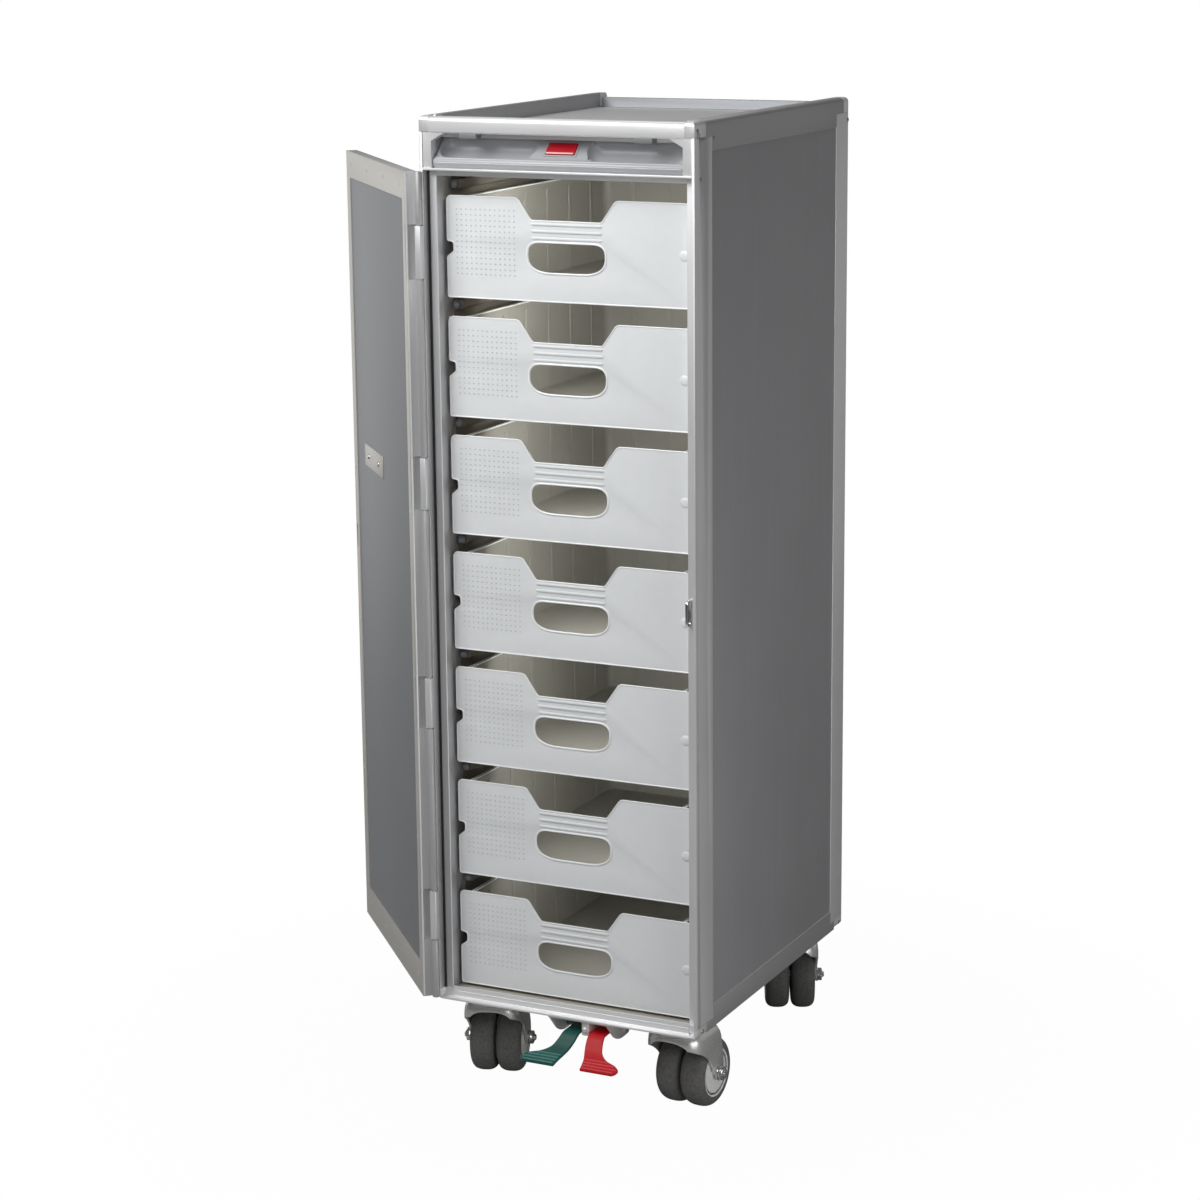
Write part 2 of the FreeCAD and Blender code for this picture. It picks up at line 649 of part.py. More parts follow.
def drawer(number):
    """Moulded drawer: open box, front plate, side flanges that hang on a runner."""
    z = DRAWER_FIRST_Z + DRAWER_PITCH * number
    y0 = DRAWER_FRONT + DRAWER_FRONT_THICKNESS
    y1 = DRAWER_BACK
    w, s = DRAWER_HALF - DRAWER_BODY_INSET, DRAWER_SHELL
    top, low = z + DRAWER_HEIGHT - DRAWER_BODY_DROP, z + DRAWER_FLOOR_RISE
    pieces = [
        drawer_front(z),
        box(-w, w, y0, y1, low, low + s),
        box(-w, -w + s, y0, y1, low, top),
        box(w - s, w, y0, y1, low, top),
        box(-w, w, y1 - s, y1, low, top),
    ]
    flange_z = z + DRAWER_HEIGHT / 2 + RUNNER_HEIGHT / 2 + SEAT_GAP
    for side in (-1, 1):
        x0, x1 = sorted((side * (w - s), side * DRAWER_HALF))
        pieces.append(box(x0, x1, y0 + SIDE_NOTCH_HEIGHT, y1, flange_z, flange_z + DRAWER_FLANGE))
        for n in range(DRAWER_RIBS):
            y = y0 + (y1 - y0) * (n + 1) / (DRAWER_RIBS + 1)
            x0, x1 = sorted((side * w, side * (w + DRAWER_RIB)))
            pieces.append(box(x0, x1, y - DRAWER_RIB, y + DRAWER_RIB, low, flange_z))
    strip = z + DRAWER_HEIGHT - PULL_NOTCH_DEPTH
    for n in range(GRIP_RIBS):
        h = strip - GRIP_STRIP_HEIGHT * (n + 0.5) / GRIP_RIBS
        reach = PULL_NOTCH_FLOOR / 2
        pieces.append(box(-reach, reach, DRAWER_FRONT - GRIP_RIB, DRAWER_FRONT, h - GRIP_RIB_HEIGHT / 2,
                          h + GRIP_RIB_HEIGHT / 2))
    return joined(pieces)


# ---------------------------------------------------------------- door
def swung(shape):
    """A door piece modelled shut, turned to the open rest position."""
    shape = shape.copy()
    shape.rotate(V(HINGE_X, HINGE_AXIS_Y, 0), V(0, 0, 1), -DOOR_OPEN_ANGLE)
    return shape


def hinge_pockets():
    """Room in the door's edge for the knuckles on the post."""
    reach = HINGE_SIZE / 2 + HINGE_GAP
    high = HINGE_LENGTH / 2 + HINGE_GAP
    return [box(HINGE_X - reach, HINGE_X + reach + HINGE_GAP * 2, HINGE_AXIS_Y - reach,
                HINGE_AXIS_Y + reach + HINGE_POCKET_DEPTH, z - high, z + high) for z in HINGE_HEIGHTS]


def door_frame():
    """Extruded rim of the door with the pivot bead along its hinge side."""
    ring = box(DOOR_LEFT, DOOR_RIGHT, DOOR_OUTER + DOOR_SKIN, DOOR_INNER, DOOR_BOTTOM, DOOR_TOP)
    window = box(DOOR_LEFT + DOOR_FRAME_HINGE, DOOR_RIGHT - DOOR_FRAME_FREE, DOOR_OUTER, DOOR_INNER + 1,
                 DOOR_BOTTOM + DOOR_FRAME_BOTTOM, DOOR_TOP - DOOR_FRAME_TOP)
    ring = ring.cut(window)
    bead_radius = HINGE_SIZE / 2 - BEAD_INSET
    bead = rod((HINGE_X, HINGE_AXIS_Y, DOOR_BOTTOM), (0, 0, 1), bead_radius, DOOR_TOP - DOOR_BOTTOM)
    web = box(HINGE_X, DOOR_LEFT, HINGE_AXIS_Y + BEAD_WEB_START, HINGE_AXIS_Y + bead_radius, DOOR_BOTTOM,
              DOOR_TOP)
    rim = joined([ring, bead, web])
    for pocket in hinge_pockets():
        rim = rim.cut(pocket)
    ear = HINGE_LENGTH / 2 + HINGE_GAP + HINGE_EAR
    for z in HINGE_HEIGHTS:
        bore = HINGE_PIN_RADIUS + RUNNING_GAP
        rim = rim.cut(rod((HINGE_X, HINGE_AXIS_Y, z - ear), (0, 0, 1), bore, ear * 2))
    return rim.cut(keeper_pocket())


def keeper_pocket():
    """Slot in the free edge that takes the keeper loop when the door shuts."""
    x = JAMB + KEEPER_FROM_JAMB
    gap = KEEPER_CLEARANCE
    high = KEEPER_HEIGHT / 2 + gap
    return box(x - gap, x + KEEPER_WIRE + gap, LIP_Y - KEEPER_REACH - gap, DOOR_INNER, KEEPER_Z - high,
               KEEPER_Z + high)


def latch_centre_x():
    """Middle of the latch, measured on the shut door."""
    return DOOR_RIGHT - LATCH_FROM_FREE_EDGE


def door_skin():
    """Outer sheet of the door, cut away round the latch."""
    skin = box(DOOR_LEFT, DOOR_RIGHT, DOOR_OUTER, DOOR_OUTER + DOOR_SKIN, DOOR_BOTTOM, DOOR_TOP)
    x = latch_centre_x()
    hole = box(x - LATCH_WIDTH / 2, x + LATCH_WIDTH / 2, DOOR_OUTER - 1, DOOR_INNER,
               LATCH_Z - LATCH_HEIGHT / 2, LATCH_Z + LATCH_HEIGHT / 2)
    skin = skin.cut(hole)
    for pocket in hinge_pockets():
        skin = skin.cut(pocket)
    return skin


def door_core():
    """Foam core with the latch's pocket."""
    y1 = DOOR_INNER - DOOR_PAN_RECESS - DOOR_PAN_THICKNESS
    core = box(DOOR_LEFT + DOOR_FRAME_HINGE, DOOR_RIGHT - DOOR_FRAME_FREE, DOOR_OUTER + DOOR_SKIN, y1,
               DOOR_BOTTOM + DOOR_FRAME_BOTTOM, DOOR_TOP - DOOR_FRAME_TOP)
    x = latch_centre_x()
    return core.cut(box(x - LATCH_WIDTH / 2, x + LATCH_WIDTH / 2, DOOR_OUTER, DOOR_OUTER + LATCH_DEPTH,
                        LATCH_Z - LATCH_HEIGHT / 2, LATCH_Z + LATCH_HEIGHT / 2))


def door_inner_pan():
    """Brushed inner sheet, just below the face of the rim."""
    y1 = DOOR_INNER - DOOR_PAN_RECESS
    return box(DOOR_LEFT + DOOR_FRAME_HINGE, DOOR_RIGHT - DOOR_FRAME_FREE, y1 - DOOR_PAN_THICKNESS, y1,
               DOOR_BOTTOM + DOOR_FRAME_BOTTOM, DOOR_TOP - DOOR_FRAME_TOP)


def latch_backing_plate():
    """Plate behind the latch with its two rivets."""
    x, y = latch_centre_x(), DOOR_INNER - DOOR_PAN_RECESS
    plate = box(x - PLATE_WIDTH / 2, x + PLATE_WIDTH / 2, y, y + PLATE_THICKNESS,
                LATCH_Z - PLATE_HEIGHT / 2, LATCH_Z + PLATE_HEIGHT / 2)
    face = y + PLATE_THICKNESS
    heads = [rivet(x + side * PLATE_RIVET_OFFSET, face, LATCH_Z, (0, 1, 0)) for side in (-1, 1)]
    return group([plate] + heads)


def latch_housing():
    """Dished metal tray let into the outer face."""
    x = latch_centre_x()
    w, h = LATCH_WIDTH / 2, LATCH_HEIGHT / 2
    body = box(x - w, x + w, DOOR_OUTER, DOOR_OUTER + LATCH_DEPTH, LATCH_Z - h, LATCH_Z + h)
    w, h = w - LATCH_RIM, h - LATCH_RIM
    well_floor = DOOR_OUTER + LATCH_DEPTH - DOOR_SKIN
    return body.cut(box(x - w, x + w, DOOR_OUTER, well_floor, LATCH_Z - h, LATCH_Z + h))


def latch_paddle():
    """Finger paddle with a curled lip, turning on a pin along its top edge."""
    x = latch_centre_x()
    well = LATCH_WIDTH / 2 - LATCH_RIM
    w = well - PADDLE_GAP
    y0 = DOOR_OUTER + SEAT_GAP
    y1 = y0 + PADDLE_THICKNESS
    top = LATCH_Z + LATCH_HEIGHT / 2 - LATCH_RIM - PADDLE_GAP
    foot = LATCH_Z - LATCH_RIM
    plate = box(x - w, x + w, y0, y1, foot, top)
    curl = box(x - w, x + w, y0, y1 + PADDLE_GAP, foot, foot + PADDLE_THICKNESS)
    pin = rod((x - well + SEAT_GAP, y0 + PADDLE_THICKNESS / 2, top - PADDLE_THICKNESS / 2), (1, 0, 0),
              PADDLE_PIN_RADIUS, (well - SEAT_GAP) * 2)
    return joined([plate, curl, pin])


def hinges():
    """Post halves of the hinges with their pins."""
    pieces = []
    half = HINGE_SIZE / 2
    for z in HINGE_HEIGHTS:
        block = box(HINGE_X - half, HINGE_X + half, HINGE_AXIS_Y - half, FRONT, z - HINGE_LENGTH / 2,
                    z + HINGE_LENGTH / 2)
        block = soften(block, HINGE_ROUND, lambda e: upright(e) and e.CenterOfMass.y < FRONT - 1)
        bore = rod((HINGE_X, HINGE_AXIS_Y, z - HINGE_LENGTH), (0, 0, 1), HINGE_PIN_RADIUS, HINGE_LENGTH * 2)
        pieces.append(block.cut(bore))
        length = HINGE_LENGTH + (HINGE_GAP + HINGE_EAR) * 2 - 1
        pieces.append(rod((HINGE_X, HINGE_AXIS_Y, z - length / 2), (0, 0, 1), HINGE_PIN_RADIUS, length))
    return group(pieces)


def door_rivets():
    """Rivets round the inner face of the door's rim."""
    heads = []
    for z in (DOOR_BOTTOM + DOOR_FRAME_BOTTOM / 2, DOOR_TOP - DOOR_FRAME_TOP / 2):
        for share in DOOR_RIVET_SHARES:
            heads.append(rivet(DOOR_LEFT + (DOOR_RIGHT - DOOR_LEFT) * share, DOOR_INNER, z, (0, 1, 0)))
    for share in DOOR_SIDE_RIVET_SHARES:
        z = DOOR_BOTTOM + (DOOR_TOP - DOOR_BOTTOM) * share
        heads.append(rivet(DOOR_RIGHT - DOOR_FRAME_FREE / 2, DOOR_INNER, z, (0, 1, 0)))
        heads.append(rivet(DOOR_LEFT + DOOR_HINGE_RIVET_INSET, DOOR_INNER, z, (0, 1, 0)))
    return group(heads)


def door_seal():
    """Rubber strip in the corner of the rebate."""
    y0, y1 = LIP_Y - SEAL_PROUD, LIP_Y
    left = box(-RIDGE, -RIDGE + SEAL_WIDTH, y0, y1, POST_BOTTOM, CROSSBAR_RIDGE_Z)
    return group([left, mirrored(left)])


def latch_keeper():
    """Obround loop that stands on the right jamb's lip."""
    x = JAMB + KEEPER_FROM_JAMB
    h = KEEPER_HEIGHT / 2
    y0, y1 = LIP_Y - KEEPER_REACH, LIP_Y
    loop = box(x, x + KEEPER_WIRE, y0, y1, KEEPER_Z - h, KEEPER_Z + h)
    loop = soften(loop, KEEPER_ROUND, lambda e: abs(e.Vertexes[0].X - e.Vertexes[-1].X) > KEEPER_WIRE / 2 and
                  e.CenterOfMass.y < y0 + 1)
    slot = box(x - 1, x + KEEPER_WIRE + 1, y0 + KEEPER_WIRE, y1 - KEEPER_FOOT, KEEPER_Z - h + KEEPER_WIRE,
               KEEPER_Z + h - KEEPER_WIRE)
    return loop.cut(slot)


# ---------------------------------------------------------------- handle
def scoop_section(x0, x1):
    """Handle stretch with a rounded front bar and a concave finger channel."""
    y = lambda d: FRONT + d
    floor = CROSSBAR_TOP
    drop = math.sqrt(SCOOP_RADIUS ** 2 - (HANDLE_LIP_TOP - SCOOP_CENTRE_Z) ** 2)
    start = (SCOOP_CENTRE_Y - drop, HANDLE_LIP_TOP)
    rise = math.radians(SCOOP_RISE)
    end = (SCOOP_CENTRE_Y + SCOOP_RADIUS * math.cos(rise), SCOOP_CENTRE_Z + SCOOP_RADIUS * math.sin(rise))
    low = (SCOOP_CENTRE_Y, SCOOP_CENTRE_Z - SCOOP_RADIUS)
    point = lambda p: (x0, y(p[0]), p[1])
    nose = point((HANDLE_FRONT, (floor + HANDLE_LIP_TOP) / 2))
    under = point((HANDLE_FRONT + HANDLE_UNDERCUT, floor))
    back, over = point((HANDLE_BACK, floor)), point((HANDLE_BACK, end[1]))
    edges = [
        arc(under, nose, point(start)),
        arc(point(start), point(low), point(end)),
        line(point(end), over),
        line(over, back),
        line(back, under),
    ]
    return sheet_face(edges).extrude(V(x1 - x0, 0, 0))


def bridge_plane():
    """Front foot and back top of the sloping bridge face, as (y, z)."""
    foot = (FRONT + BRIDGE_FRONT_Y, HANDLE_LIP_TOP + BRIDGE_STEP)
    top = (FRONT + HANDLE_BACK - BRIDGE_BACK_INSET, HANDLE_BACK_TOP)
    return foot, top


def button_frame():
    """Centre of the button on the slope, and the slope's inward normal."""
    (y0, z0), (y1, z1) = bridge_plane()
    length = math.hypot(y1 - y0, z1 - z0)
    along = V(0, (y1 - y0) / length, (z1 - z0) / length)
    inward = V(0, along.z, -along.y)
    return V(0, (y0 + y1) / 2, (z0 + z1) / 2), along, inward


def tilted_block(width, length, out, depth):
    """A block centred on the slope, from out above it to depth below it."""
    centre, along, inward = button_frame()
    corner = centre - along * (length / 2) - inward * out - V(width / 2, 0, 0)
    a, b, c = V(width, 0, 0), along * length, inward * (out + depth)
    face = Part.Face(Part.makePolygon([corner, corner + a, corner + a + b, corner + b, corner]))
    return face.extrude(c)


def grab_handle():
    """Moulded handle: two scoops, with a bridge for the button between them."""
    half = JAMB - HANDLE_END_GAP
    body = scoop_section(-half, half)
    (y0, z0), (y1, z1) = bridge_plane()
    side = prism_x([(y0, CROSSBAR_TOP), (y0, z0), (y1, z1), (FRONT + HANDLE_BACK, z1),
                    (FRONT + HANDLE_BACK, CROSSBAR_TOP)], -BRIDGE_FOOT_HALF, BRIDGE_FOOT_HALF)
    front = [(-BRIDGE_FOOT_HALF, CROSSBAR_TOP), (BRIDGE_FOOT_HALF, CROSSBAR_TOP),
             (BRIDGE_FOOT_HALF, HANDLE_LIP_TOP), (BRIDGE_TOP_HALF, HANDLE_BACK_TOP),
             (-BRIDGE_TOP_HALF, HANDLE_BACK_TOP), (-BRIDGE_FOOT_HALF, HANDLE_LIP_TOP)]
    bridge = side.common(prism_y(front, FRONT, FRONT + FRONT_BAND))
    ends = []
    for sign in (-1, 1):
        x0, x1 = sorted((sign * half, sign * (half - HANDLE_END_WEB)))
        back, top = FRONT + HANDLE_BACK, HANDLE_BACK_TOP - HANDLE_END_DROP
        section = [(FRONT + HANDLE_END_FOOT, CROSSBAR_TOP), (back - HANDLE_END_TOP, top), (back, top),
                   (back, CROSSBAR_TOP)]
        ends.append(prism_x(section, x0, x1))
    handle = joined([body, bridge] + ends)
    gap = SEAT_GAP
    slot = tilted_block(BUTTON_WIDTH + gap * 2, BUTTON_LENGTH + gap * 2, gap,
                        BUTTON_THICKNESS - BUTTON_PROUD + BUTTON_TRAVEL + gap)
    return handle.cut(slot)


def latch_button():
    """Red press button on the bridge's slope."""
    return tilted_block(BUTTON_WIDTH, BUTTON_LENGTH, BUTTON_PROUD, BUTTON_THICKNESS - BUTTON_PROUD)


def handle_clips():
    """Two clips that hold the handle moulding under the lintel."""
    top = FASCIA_TOP - FASCIA_LINTEL
    clips = []
    for side in (-1, 1):
        x = side * CLIP_OFFSET
        clips.append(box(x - CLIP_WIDTH / 2, x + CLIP_WIDTH / 2, FRONT + FASCIA_SETBACK,
                         FRONT + FASCIA_SETBACK + CLIP_DEPTH, top - CLIP_HEIGHT, top))
    return group(clips)


# ---------------------------------------------------------------- casters
def caster_seat(corner):
    """Swivel axis of a caster, as (x, y)."""
    x = CASTER_X if corner.endswith("right") else -CASTER_X
    y = FRONT + CASTER_FRONT_Y if corner.startswith("front") else BACK - CASTER_REAR_Y
    return x, y


def placed(shape, corner):
    """A caster piece modelled about its swivel axis, turned and moved to its corner."""
    x, y = caster_seat(corner)
    shape = shape.copy()
    shape.rotate(V(0, 0, 0), V(0, 0, 1), CASTER_TURNS[corner])
    shape.translate(V(x, y, 0))
    return shape


def fork_side_view():
    """Side view of the fork: skirt, concave sweep down to a round eye, sloping back."""
    reach = WHEEL_WIDTH * 2
    front, skirt = -SWIVEL_FLANGE_RADIUS, FORK_TOP - FORK_SKIRT
    eye = [(-reach, CASTER_TRAIL + FORK_EYE * math.cos(a), WHEEL_RADIUS + FORK_EYE * math.sin(a))
           for a in map(math.radians, FORK_EYE_TURNS)]
    start = (-reach, -FORK_SWEEP_START, skirt)
    middle = (-reach, (start[1] + eye[0][1]) / 2 + FORK_SWEEP, (start[2] + eye[0][2]) / 2 + FORK_SWEEP)
    top_back = (-reach, SWIVEL_FLANGE_RADIUS + FORK_BACK_SLOPE, FORK_TOP)
    edges = [
        arc(start, middle, eye[0]),
        arc(eye[0], eye[1], eye[2]),
        line(eye[2], top_back),
        line(top_back, (-reach, front, FORK_TOP)),
        line((-reach, front, FORK_TOP), (-reach, front, skirt)),
        line((-reach, front, skirt), start),
    ]
    return sheet_face(edges).extrude(V(reach * 2, 0, 0))


def fork_dome(shrink, back):
    """Hood over both wheels: round in front, round shoulders; shrink gives its inside."""
    wide = WHEEL_WIDTH + WHEEL_GAP / 2 + FORK_SIDE_GAP + FORK_SHEET - shrink
    front, top, r = -SWIVEL_FLANGE_RADIUS + shrink, FORK_TOP - shrink, FORK_SHOULDER
    c = r * (1 - math.sqrt(0.5))
    plan = [
        arc((-wide, 0, 0), (0, front, 0), (wide, 0, 0)),
        line((wide, 0, 0), (wide, back, 0)),
        line((wide, back, 0), (-wide, back, 0)),
        line((-wide, back, 0), (-wide, 0, 0)),
    ]
    view = [
        line((-wide, front, 0), (wide, front, 0)),
        line((wide, front, 0), (wide, front, top - r)),
        arc((wide, front, top - r), (wide - c, front, top - c), (wide - r, front, top)),
        line((wide - r, front, top), (r - wide, front, top)),
        arc((r - wide, front, top), (c - wide, front, top - c), (-wide, front, top - r)),
        line((-wide, front, top - r), (-wide, front, 0)),
    ]
    upright_form = sheet_face(plan).extrude(V(0, 0, FORK_TOP))
    return upright_form.common(sheet_face(view).extrude(V(0, back - front, 0)))


def fork():
    """Pressed fork: domed hood with an arched front, and two legs down to the axle."""
    back = CASTER_TRAIL + WHEEL_RADIUS
    arch_radius = WHEEL_WIDTH + WHEEL_GAP / 2 + FORK_SIDE_GAP
    arch = rod((0, -back, WHEEL_RADIUS + FORK_ARCH_RISE), (0, 1, 0), arch_radius, back * 2)
    hood = fork_dome(0, back).common(fork_side_view()).cut(fork_dome(FORK_SHEET, back + 1)).cut(arch)
    flange = rod((0, 0, FORK_TOP), (0, 0, 1), SWIVEL_FLANGE_RADIUS, SWIVEL_FLANGE)
    neck = rod((0, 0, FORK_TOP + SWIVEL_FLANGE), (0, 0, 1), SWIVEL_NECK_RADIUS,
               BODY_UNDERSIDE - CASTER_PLATE - SEAT_GAP - FORK_TOP - SWIVEL_FLANGE)
    pin_hole = rod((0, 0, BODY_UNDERSIDE - CASTER_PLATE - KINGPIN_LENGTH - SEAT_GAP), (0, 0, 1),
                   KINGPIN_RADIUS + RUNNING_GAP, KINGPIN_LENGTH * 2)
    return joined([hood, flange, neck]).cut(pin_hole)


def axle_bolt():
    """Bolt through both wheels, with its head and nut outside the fork."""
    reach = WHEEL_WIDTH + WHEEL_GAP / 2 + FORK_SIDE_GAP + FORK_SHEET
    shaft = rod((-reach, CASTER_TRAIL, WHEEL_RADIUS), (1, 0, 0), AXLE_RADIUS, reach * 2)
    solids = [shaft]
    for side in (-1, 1):
        x = side * reach
        points = []
        for n in range(6):
            a = math.radians(60 * n)
            r = NUT_ACROSS / 2 / math.cos(math.radians(30))
            points.append((CASTER_TRAIL + r * math.cos(a), WHEEL_RADIUS + r * math.sin(a)))
        solids.append(prism_x(points, x, x + side * NUT_LENGTH))
    return joined(solids)


def caster_fork(corner):
    """Fork and axle bolt of one caster."""
    reach = WHEEL_WIDTH * 2
    bore = rod((-reach, CASTER_TRAIL, WHEEL_RADIUS), (1, 0, 0), AXLE_RADIUS, reach * 2)
    return group([placed(fork().cut(bore), corner), placed(axle_bolt(), corner)])


def wheel(corner, side):
    """One wheel of a twin pair: a hub with a moulded tread."""
    x0 = WHEEL_GAP / 2
    x1 = x0 + WHEEL_WIDTH
    r, c = WHEEL_RADIUS, TYRE_CROWN
    bore = AXLE_RADIUS + RUNNING_GAP
    turns = [math.radians(90 * n / SHOULDER_STEPS) for n in range(SHOULDER_STEPS + 1)]
    inner = [(x0 + c - c * math.cos(a), r - c + c * math.sin(a)) for a in turns]
    outer = [(x1 - c + c * math.cos(a), r - c + c * math.sin(a)) for a in reversed(turns)]
    dish = x1 - HUB_DISH
    profile = [(x0, bore)] + inner + outer
    profile += [
        (x1, HUB_RADIUS),
        (dish, HUB_RADIUS - HUB_DISH),
        (dish, AXLE_RADIUS * 2),
        (x1, AXLE_RADIUS * 2),
        (x1, bore),
    ]
    face = polygon([(side * x, CASTER_TRAIL, WHEEL_RADIUS + d) for x, d in profile])
    solid = face.revolve(V(0, CASTER_TRAIL, WHEEL_RADIUS), V(1, 0, 0), 360)
    return placed(solid, corner)


def caster_plates():
    """Mounting plates bolted under the floor."""
    plates = []
    half = CASTER_PLATE_SIZE / 2
    for corner in CASTER_TURNS:
        x, y = caster_seat(corner)
        plate = box(x - half, x + half, y - half, y + half, BODY_UNDERSIDE - CASTER_PLATE, BODY_UNDERSIDE)
        plate = soften(plate, EDGE_ROUND, upright)
        pin = rod((x, y, BODY_UNDERSIDE - CASTER_PLATE), (0, 0, -1), KINGPIN_RADIUS, KINGPIN_LENGTH)
        plates.append(joined([plate, pin]))
    return group(plates)


# ---------------------------------------------------------------- brake pedals
def pedal_strip(toe, heel, pivot_y):
    """The pedal's bent sheet seen from the side, before its outline is cut."""
    t = PEDAL_SHEET / 2
    bend = [(toe, PEDAL_TOE_Z), (heel, PEDAL_TOE_Z + PEDAL_RISE),
            ((heel + FRONT) / 2, PEDAL_TOE_Z + PEDAL_RISE + PEDAL_BEND), (FRONT + t, PEDAL_ARM_Z)]
    arm = (FRONT + t, PEDAL_ARM_Z)
    edges = [
        curve([(-HALF, y, z + t) for y, z in bend]),
        line((-HALF, arm[0], arm[1] + t), (-HALF, pivot_y, arm[1] + t)),
        line((-HALF, pivot_y, arm[1] + t), (-HALF, pivot_y, arm[1] - t)),
        line((-HALF, pivot_y, arm[1] - t), (-HALF, arm[0], arm[1] - t)),
        curve([(-HALF, y, z - t) for y, z in reversed(bend)]),
        line((-HALF, toe, PEDAL_TOE_Z - t), (-HALF, toe, PEDAL_TOE_Z + t)),
    ]
    return sheet_face(edges).extrude(V(BODY_WIDTH, 0, 0))


def pedal_outline(side, toe, heel, pivot_y):
    """Plan of the pedal: straight arm, round waist and a toe that flares to its own side."""
    outer, inner = PEDAL_HALF_SPREAD, PEDAL_INNER
    waist = PEDAL_ARM_INNER + PEDAL_ARM_WIDTH
    flare = [(outer - PEDAL_CORNER_INSET, toe), (outer, toe + PEDAL_CORNER / 2),
             (outer - PEDAL_TAPER_INSET, toe + PEDAL_TAPER_START),
             (waist + PEDAL_WAIST_FLARE, heel), (waist, FRONT)]
    hollow = [(PEDAL_ARM_INNER, FRONT), (PEDAL_ARM_INNER + PEDAL_WAIST_FLARE / 2, heel + PEDAL_WAIST_LENGTH),
              (inner, toe)]
    low = BRACKET_BOTTOM - PEDAL_REACH
    at = lambda p: (PEDAL_CENTRE_X + side * p[0], p[1], low)
    edges = [
        curve([at(p) for p in flare]),
        line(at((waist, FRONT)), at((waist, pivot_y))),
        line(at((waist, pivot_y)), at((PEDAL_ARM_INNER, pivot_y))),
        line(at((PEDAL_ARM_INNER, pivot_y)), at((PEDAL_ARM_INNER, FRONT))),
        curve([at(p) for p in hollow]),
        line(at((inner, toe)), at((outer - PEDAL_CORNER_INSET, toe))),
    ]
    return sheet_face(edges).extrude(V(0, 0, BODY_UNDERSIDE - low))


def pedal(side):
    """Bent pedal; side -1 is the left (green) one, +1 the right (red) one."""
    toe = FRONT - PEDAL_REACH
    heel = toe + PEDAL_REACH / 2
    pivot_y = FRONT + PEDAL_PIVOT_Y
    c = PEDAL_CENTRE_X
    strip, outline = pedal_strip(toe, heel, pivot_y), pedal_outline(side, toe, heel, pivot_y)
    blade = strip.common(outline)
    cheek = BRACKET_CENTRE_X + side * (BRACKET_HALF - BRACKET_SHEET - PEDAL_HUB_GAP)
    x0, x1 = sorted((c + side * PEDAL_HUB_GAP, cheek))
    hub = rod((x0, pivot_y, PEDAL_PIVOT_Z), (1, 0, 0), PEDAL_SHAFT_RADIUS + PEDAL_HUB_WALL, x1 - x0)
    whole = joined([blade, hub])
    bore = rod((-HALF, pivot_y, PEDAL_PIVOT_Z), (1, 0, 0), PEDAL_SHAFT_RADIUS + RUNNING_GAP, BODY_WIDTH)
    ribs = []
    raised = strip.translated(V(0, 0, PEDAL_RIB)).common(outline)
    for n in range(PEDAL_RIBS):
        y = toe + PEDAL_RIB_START + n * PEDAL_RIB_PITCH
        ribs.append(raised.common(box(-HALF, HALF, y - PEDAL_RIB, y + PEDAL_RIB, BRACKET_BOTTOM - PEDAL_REACH,
                                      BODY_UNDERSIDE)))
    return joined([whole.cut(bore)] + ribs)


def brake_bracket():
    """Pressed channel under the front edge that carries the pedal shaft."""
    c, h, s = BRACKET_CENTRE_X, BRACKET_HALF, BRACKET_SHEET
    top = BODY_UNDERSIDE
    cheek = [
        (FRONT + BRACKET_SETBACK, top - s),
        (FRONT + BRACKET_SETBACK + BRACKET_SLOPE, BRACKET_BOTTOM),
        (FRONT + BRACKET_LENGTH, BRACKET_BOTTOM),
        (FRONT + BRACKET_LENGTH, top - s),
    ]
    left = prism_x(cheek, c - h, c - h + s)
    right = prism_x(cheek, c + h - s, c + h)
    plate = box(c - h, c + h, FRONT + BRACKET_SETBACK, FRONT + BRACKET_LENGTH, top - s, top)
    bracket = joined([plate, left, right])
    centre = (-HALF, FRONT + PEDAL_PIVOT_Y, PEDAL_PIVOT_Z)
    return bracket.cut(rod(centre, (1, 0, 0), PEDAL_SHAFT_RADIUS + RUNNING_GAP, BODY_WIDTH))


def brake_shaft():
    """Shaft that the pedals turn on, headed at both ends."""
    y, z = FRONT + PEDAL_PIVOT_Y, PEDAL_PIVOT_Z
    left, right = BRACKET_CENTRE_X - BRACKET_HALF, BRACKET_CENTRE_X + BRACKET_HALF
    head = PEDAL_SHAFT_RADIUS + SHAFT_HEAD
    pieces = [
        rod((left - PEDAL_SHEET, y, z), (1, 0, 0), PEDAL_SHAFT_RADIUS, right - left + PEDAL_SHEET * 2),
        rod((left - PEDAL_SHEET, y, z), (1, 0, 0), head, PEDAL_SHEET),
        rod((right, y, z), (1, 0, 0), head, PEDAL_SHEET),
    ]
    return joined(pieces)


# ---------------------------------------------------------------- frame fasteners
def frame_rivets():
    """Rivets and screws on the body's frame."""
    spots = [(FRONT + y, SIDE_RAIL_TOP - z) for y, z in TOP_RIVETS.values()]
    spots += [
        (FRONT + FOOT_RIVET[0], BODY_UNDERSIDE + FOOT_RIVET[1]),
        (BACK - REAR_TOP_RIVET[0], SIDE_RAIL_TOP - REAR_TOP_RIVET[1]),
        (BACK - REAR_FOOT_RIVET[0], BODY_UNDERSIDE + REAR_FOOT_RIVET[1]),
    ]
    left = [rivet(-HALF, y, z, (-1, 0, 0)) for y, z in spots]
    return group(left + [mirrored(r) for r in left])


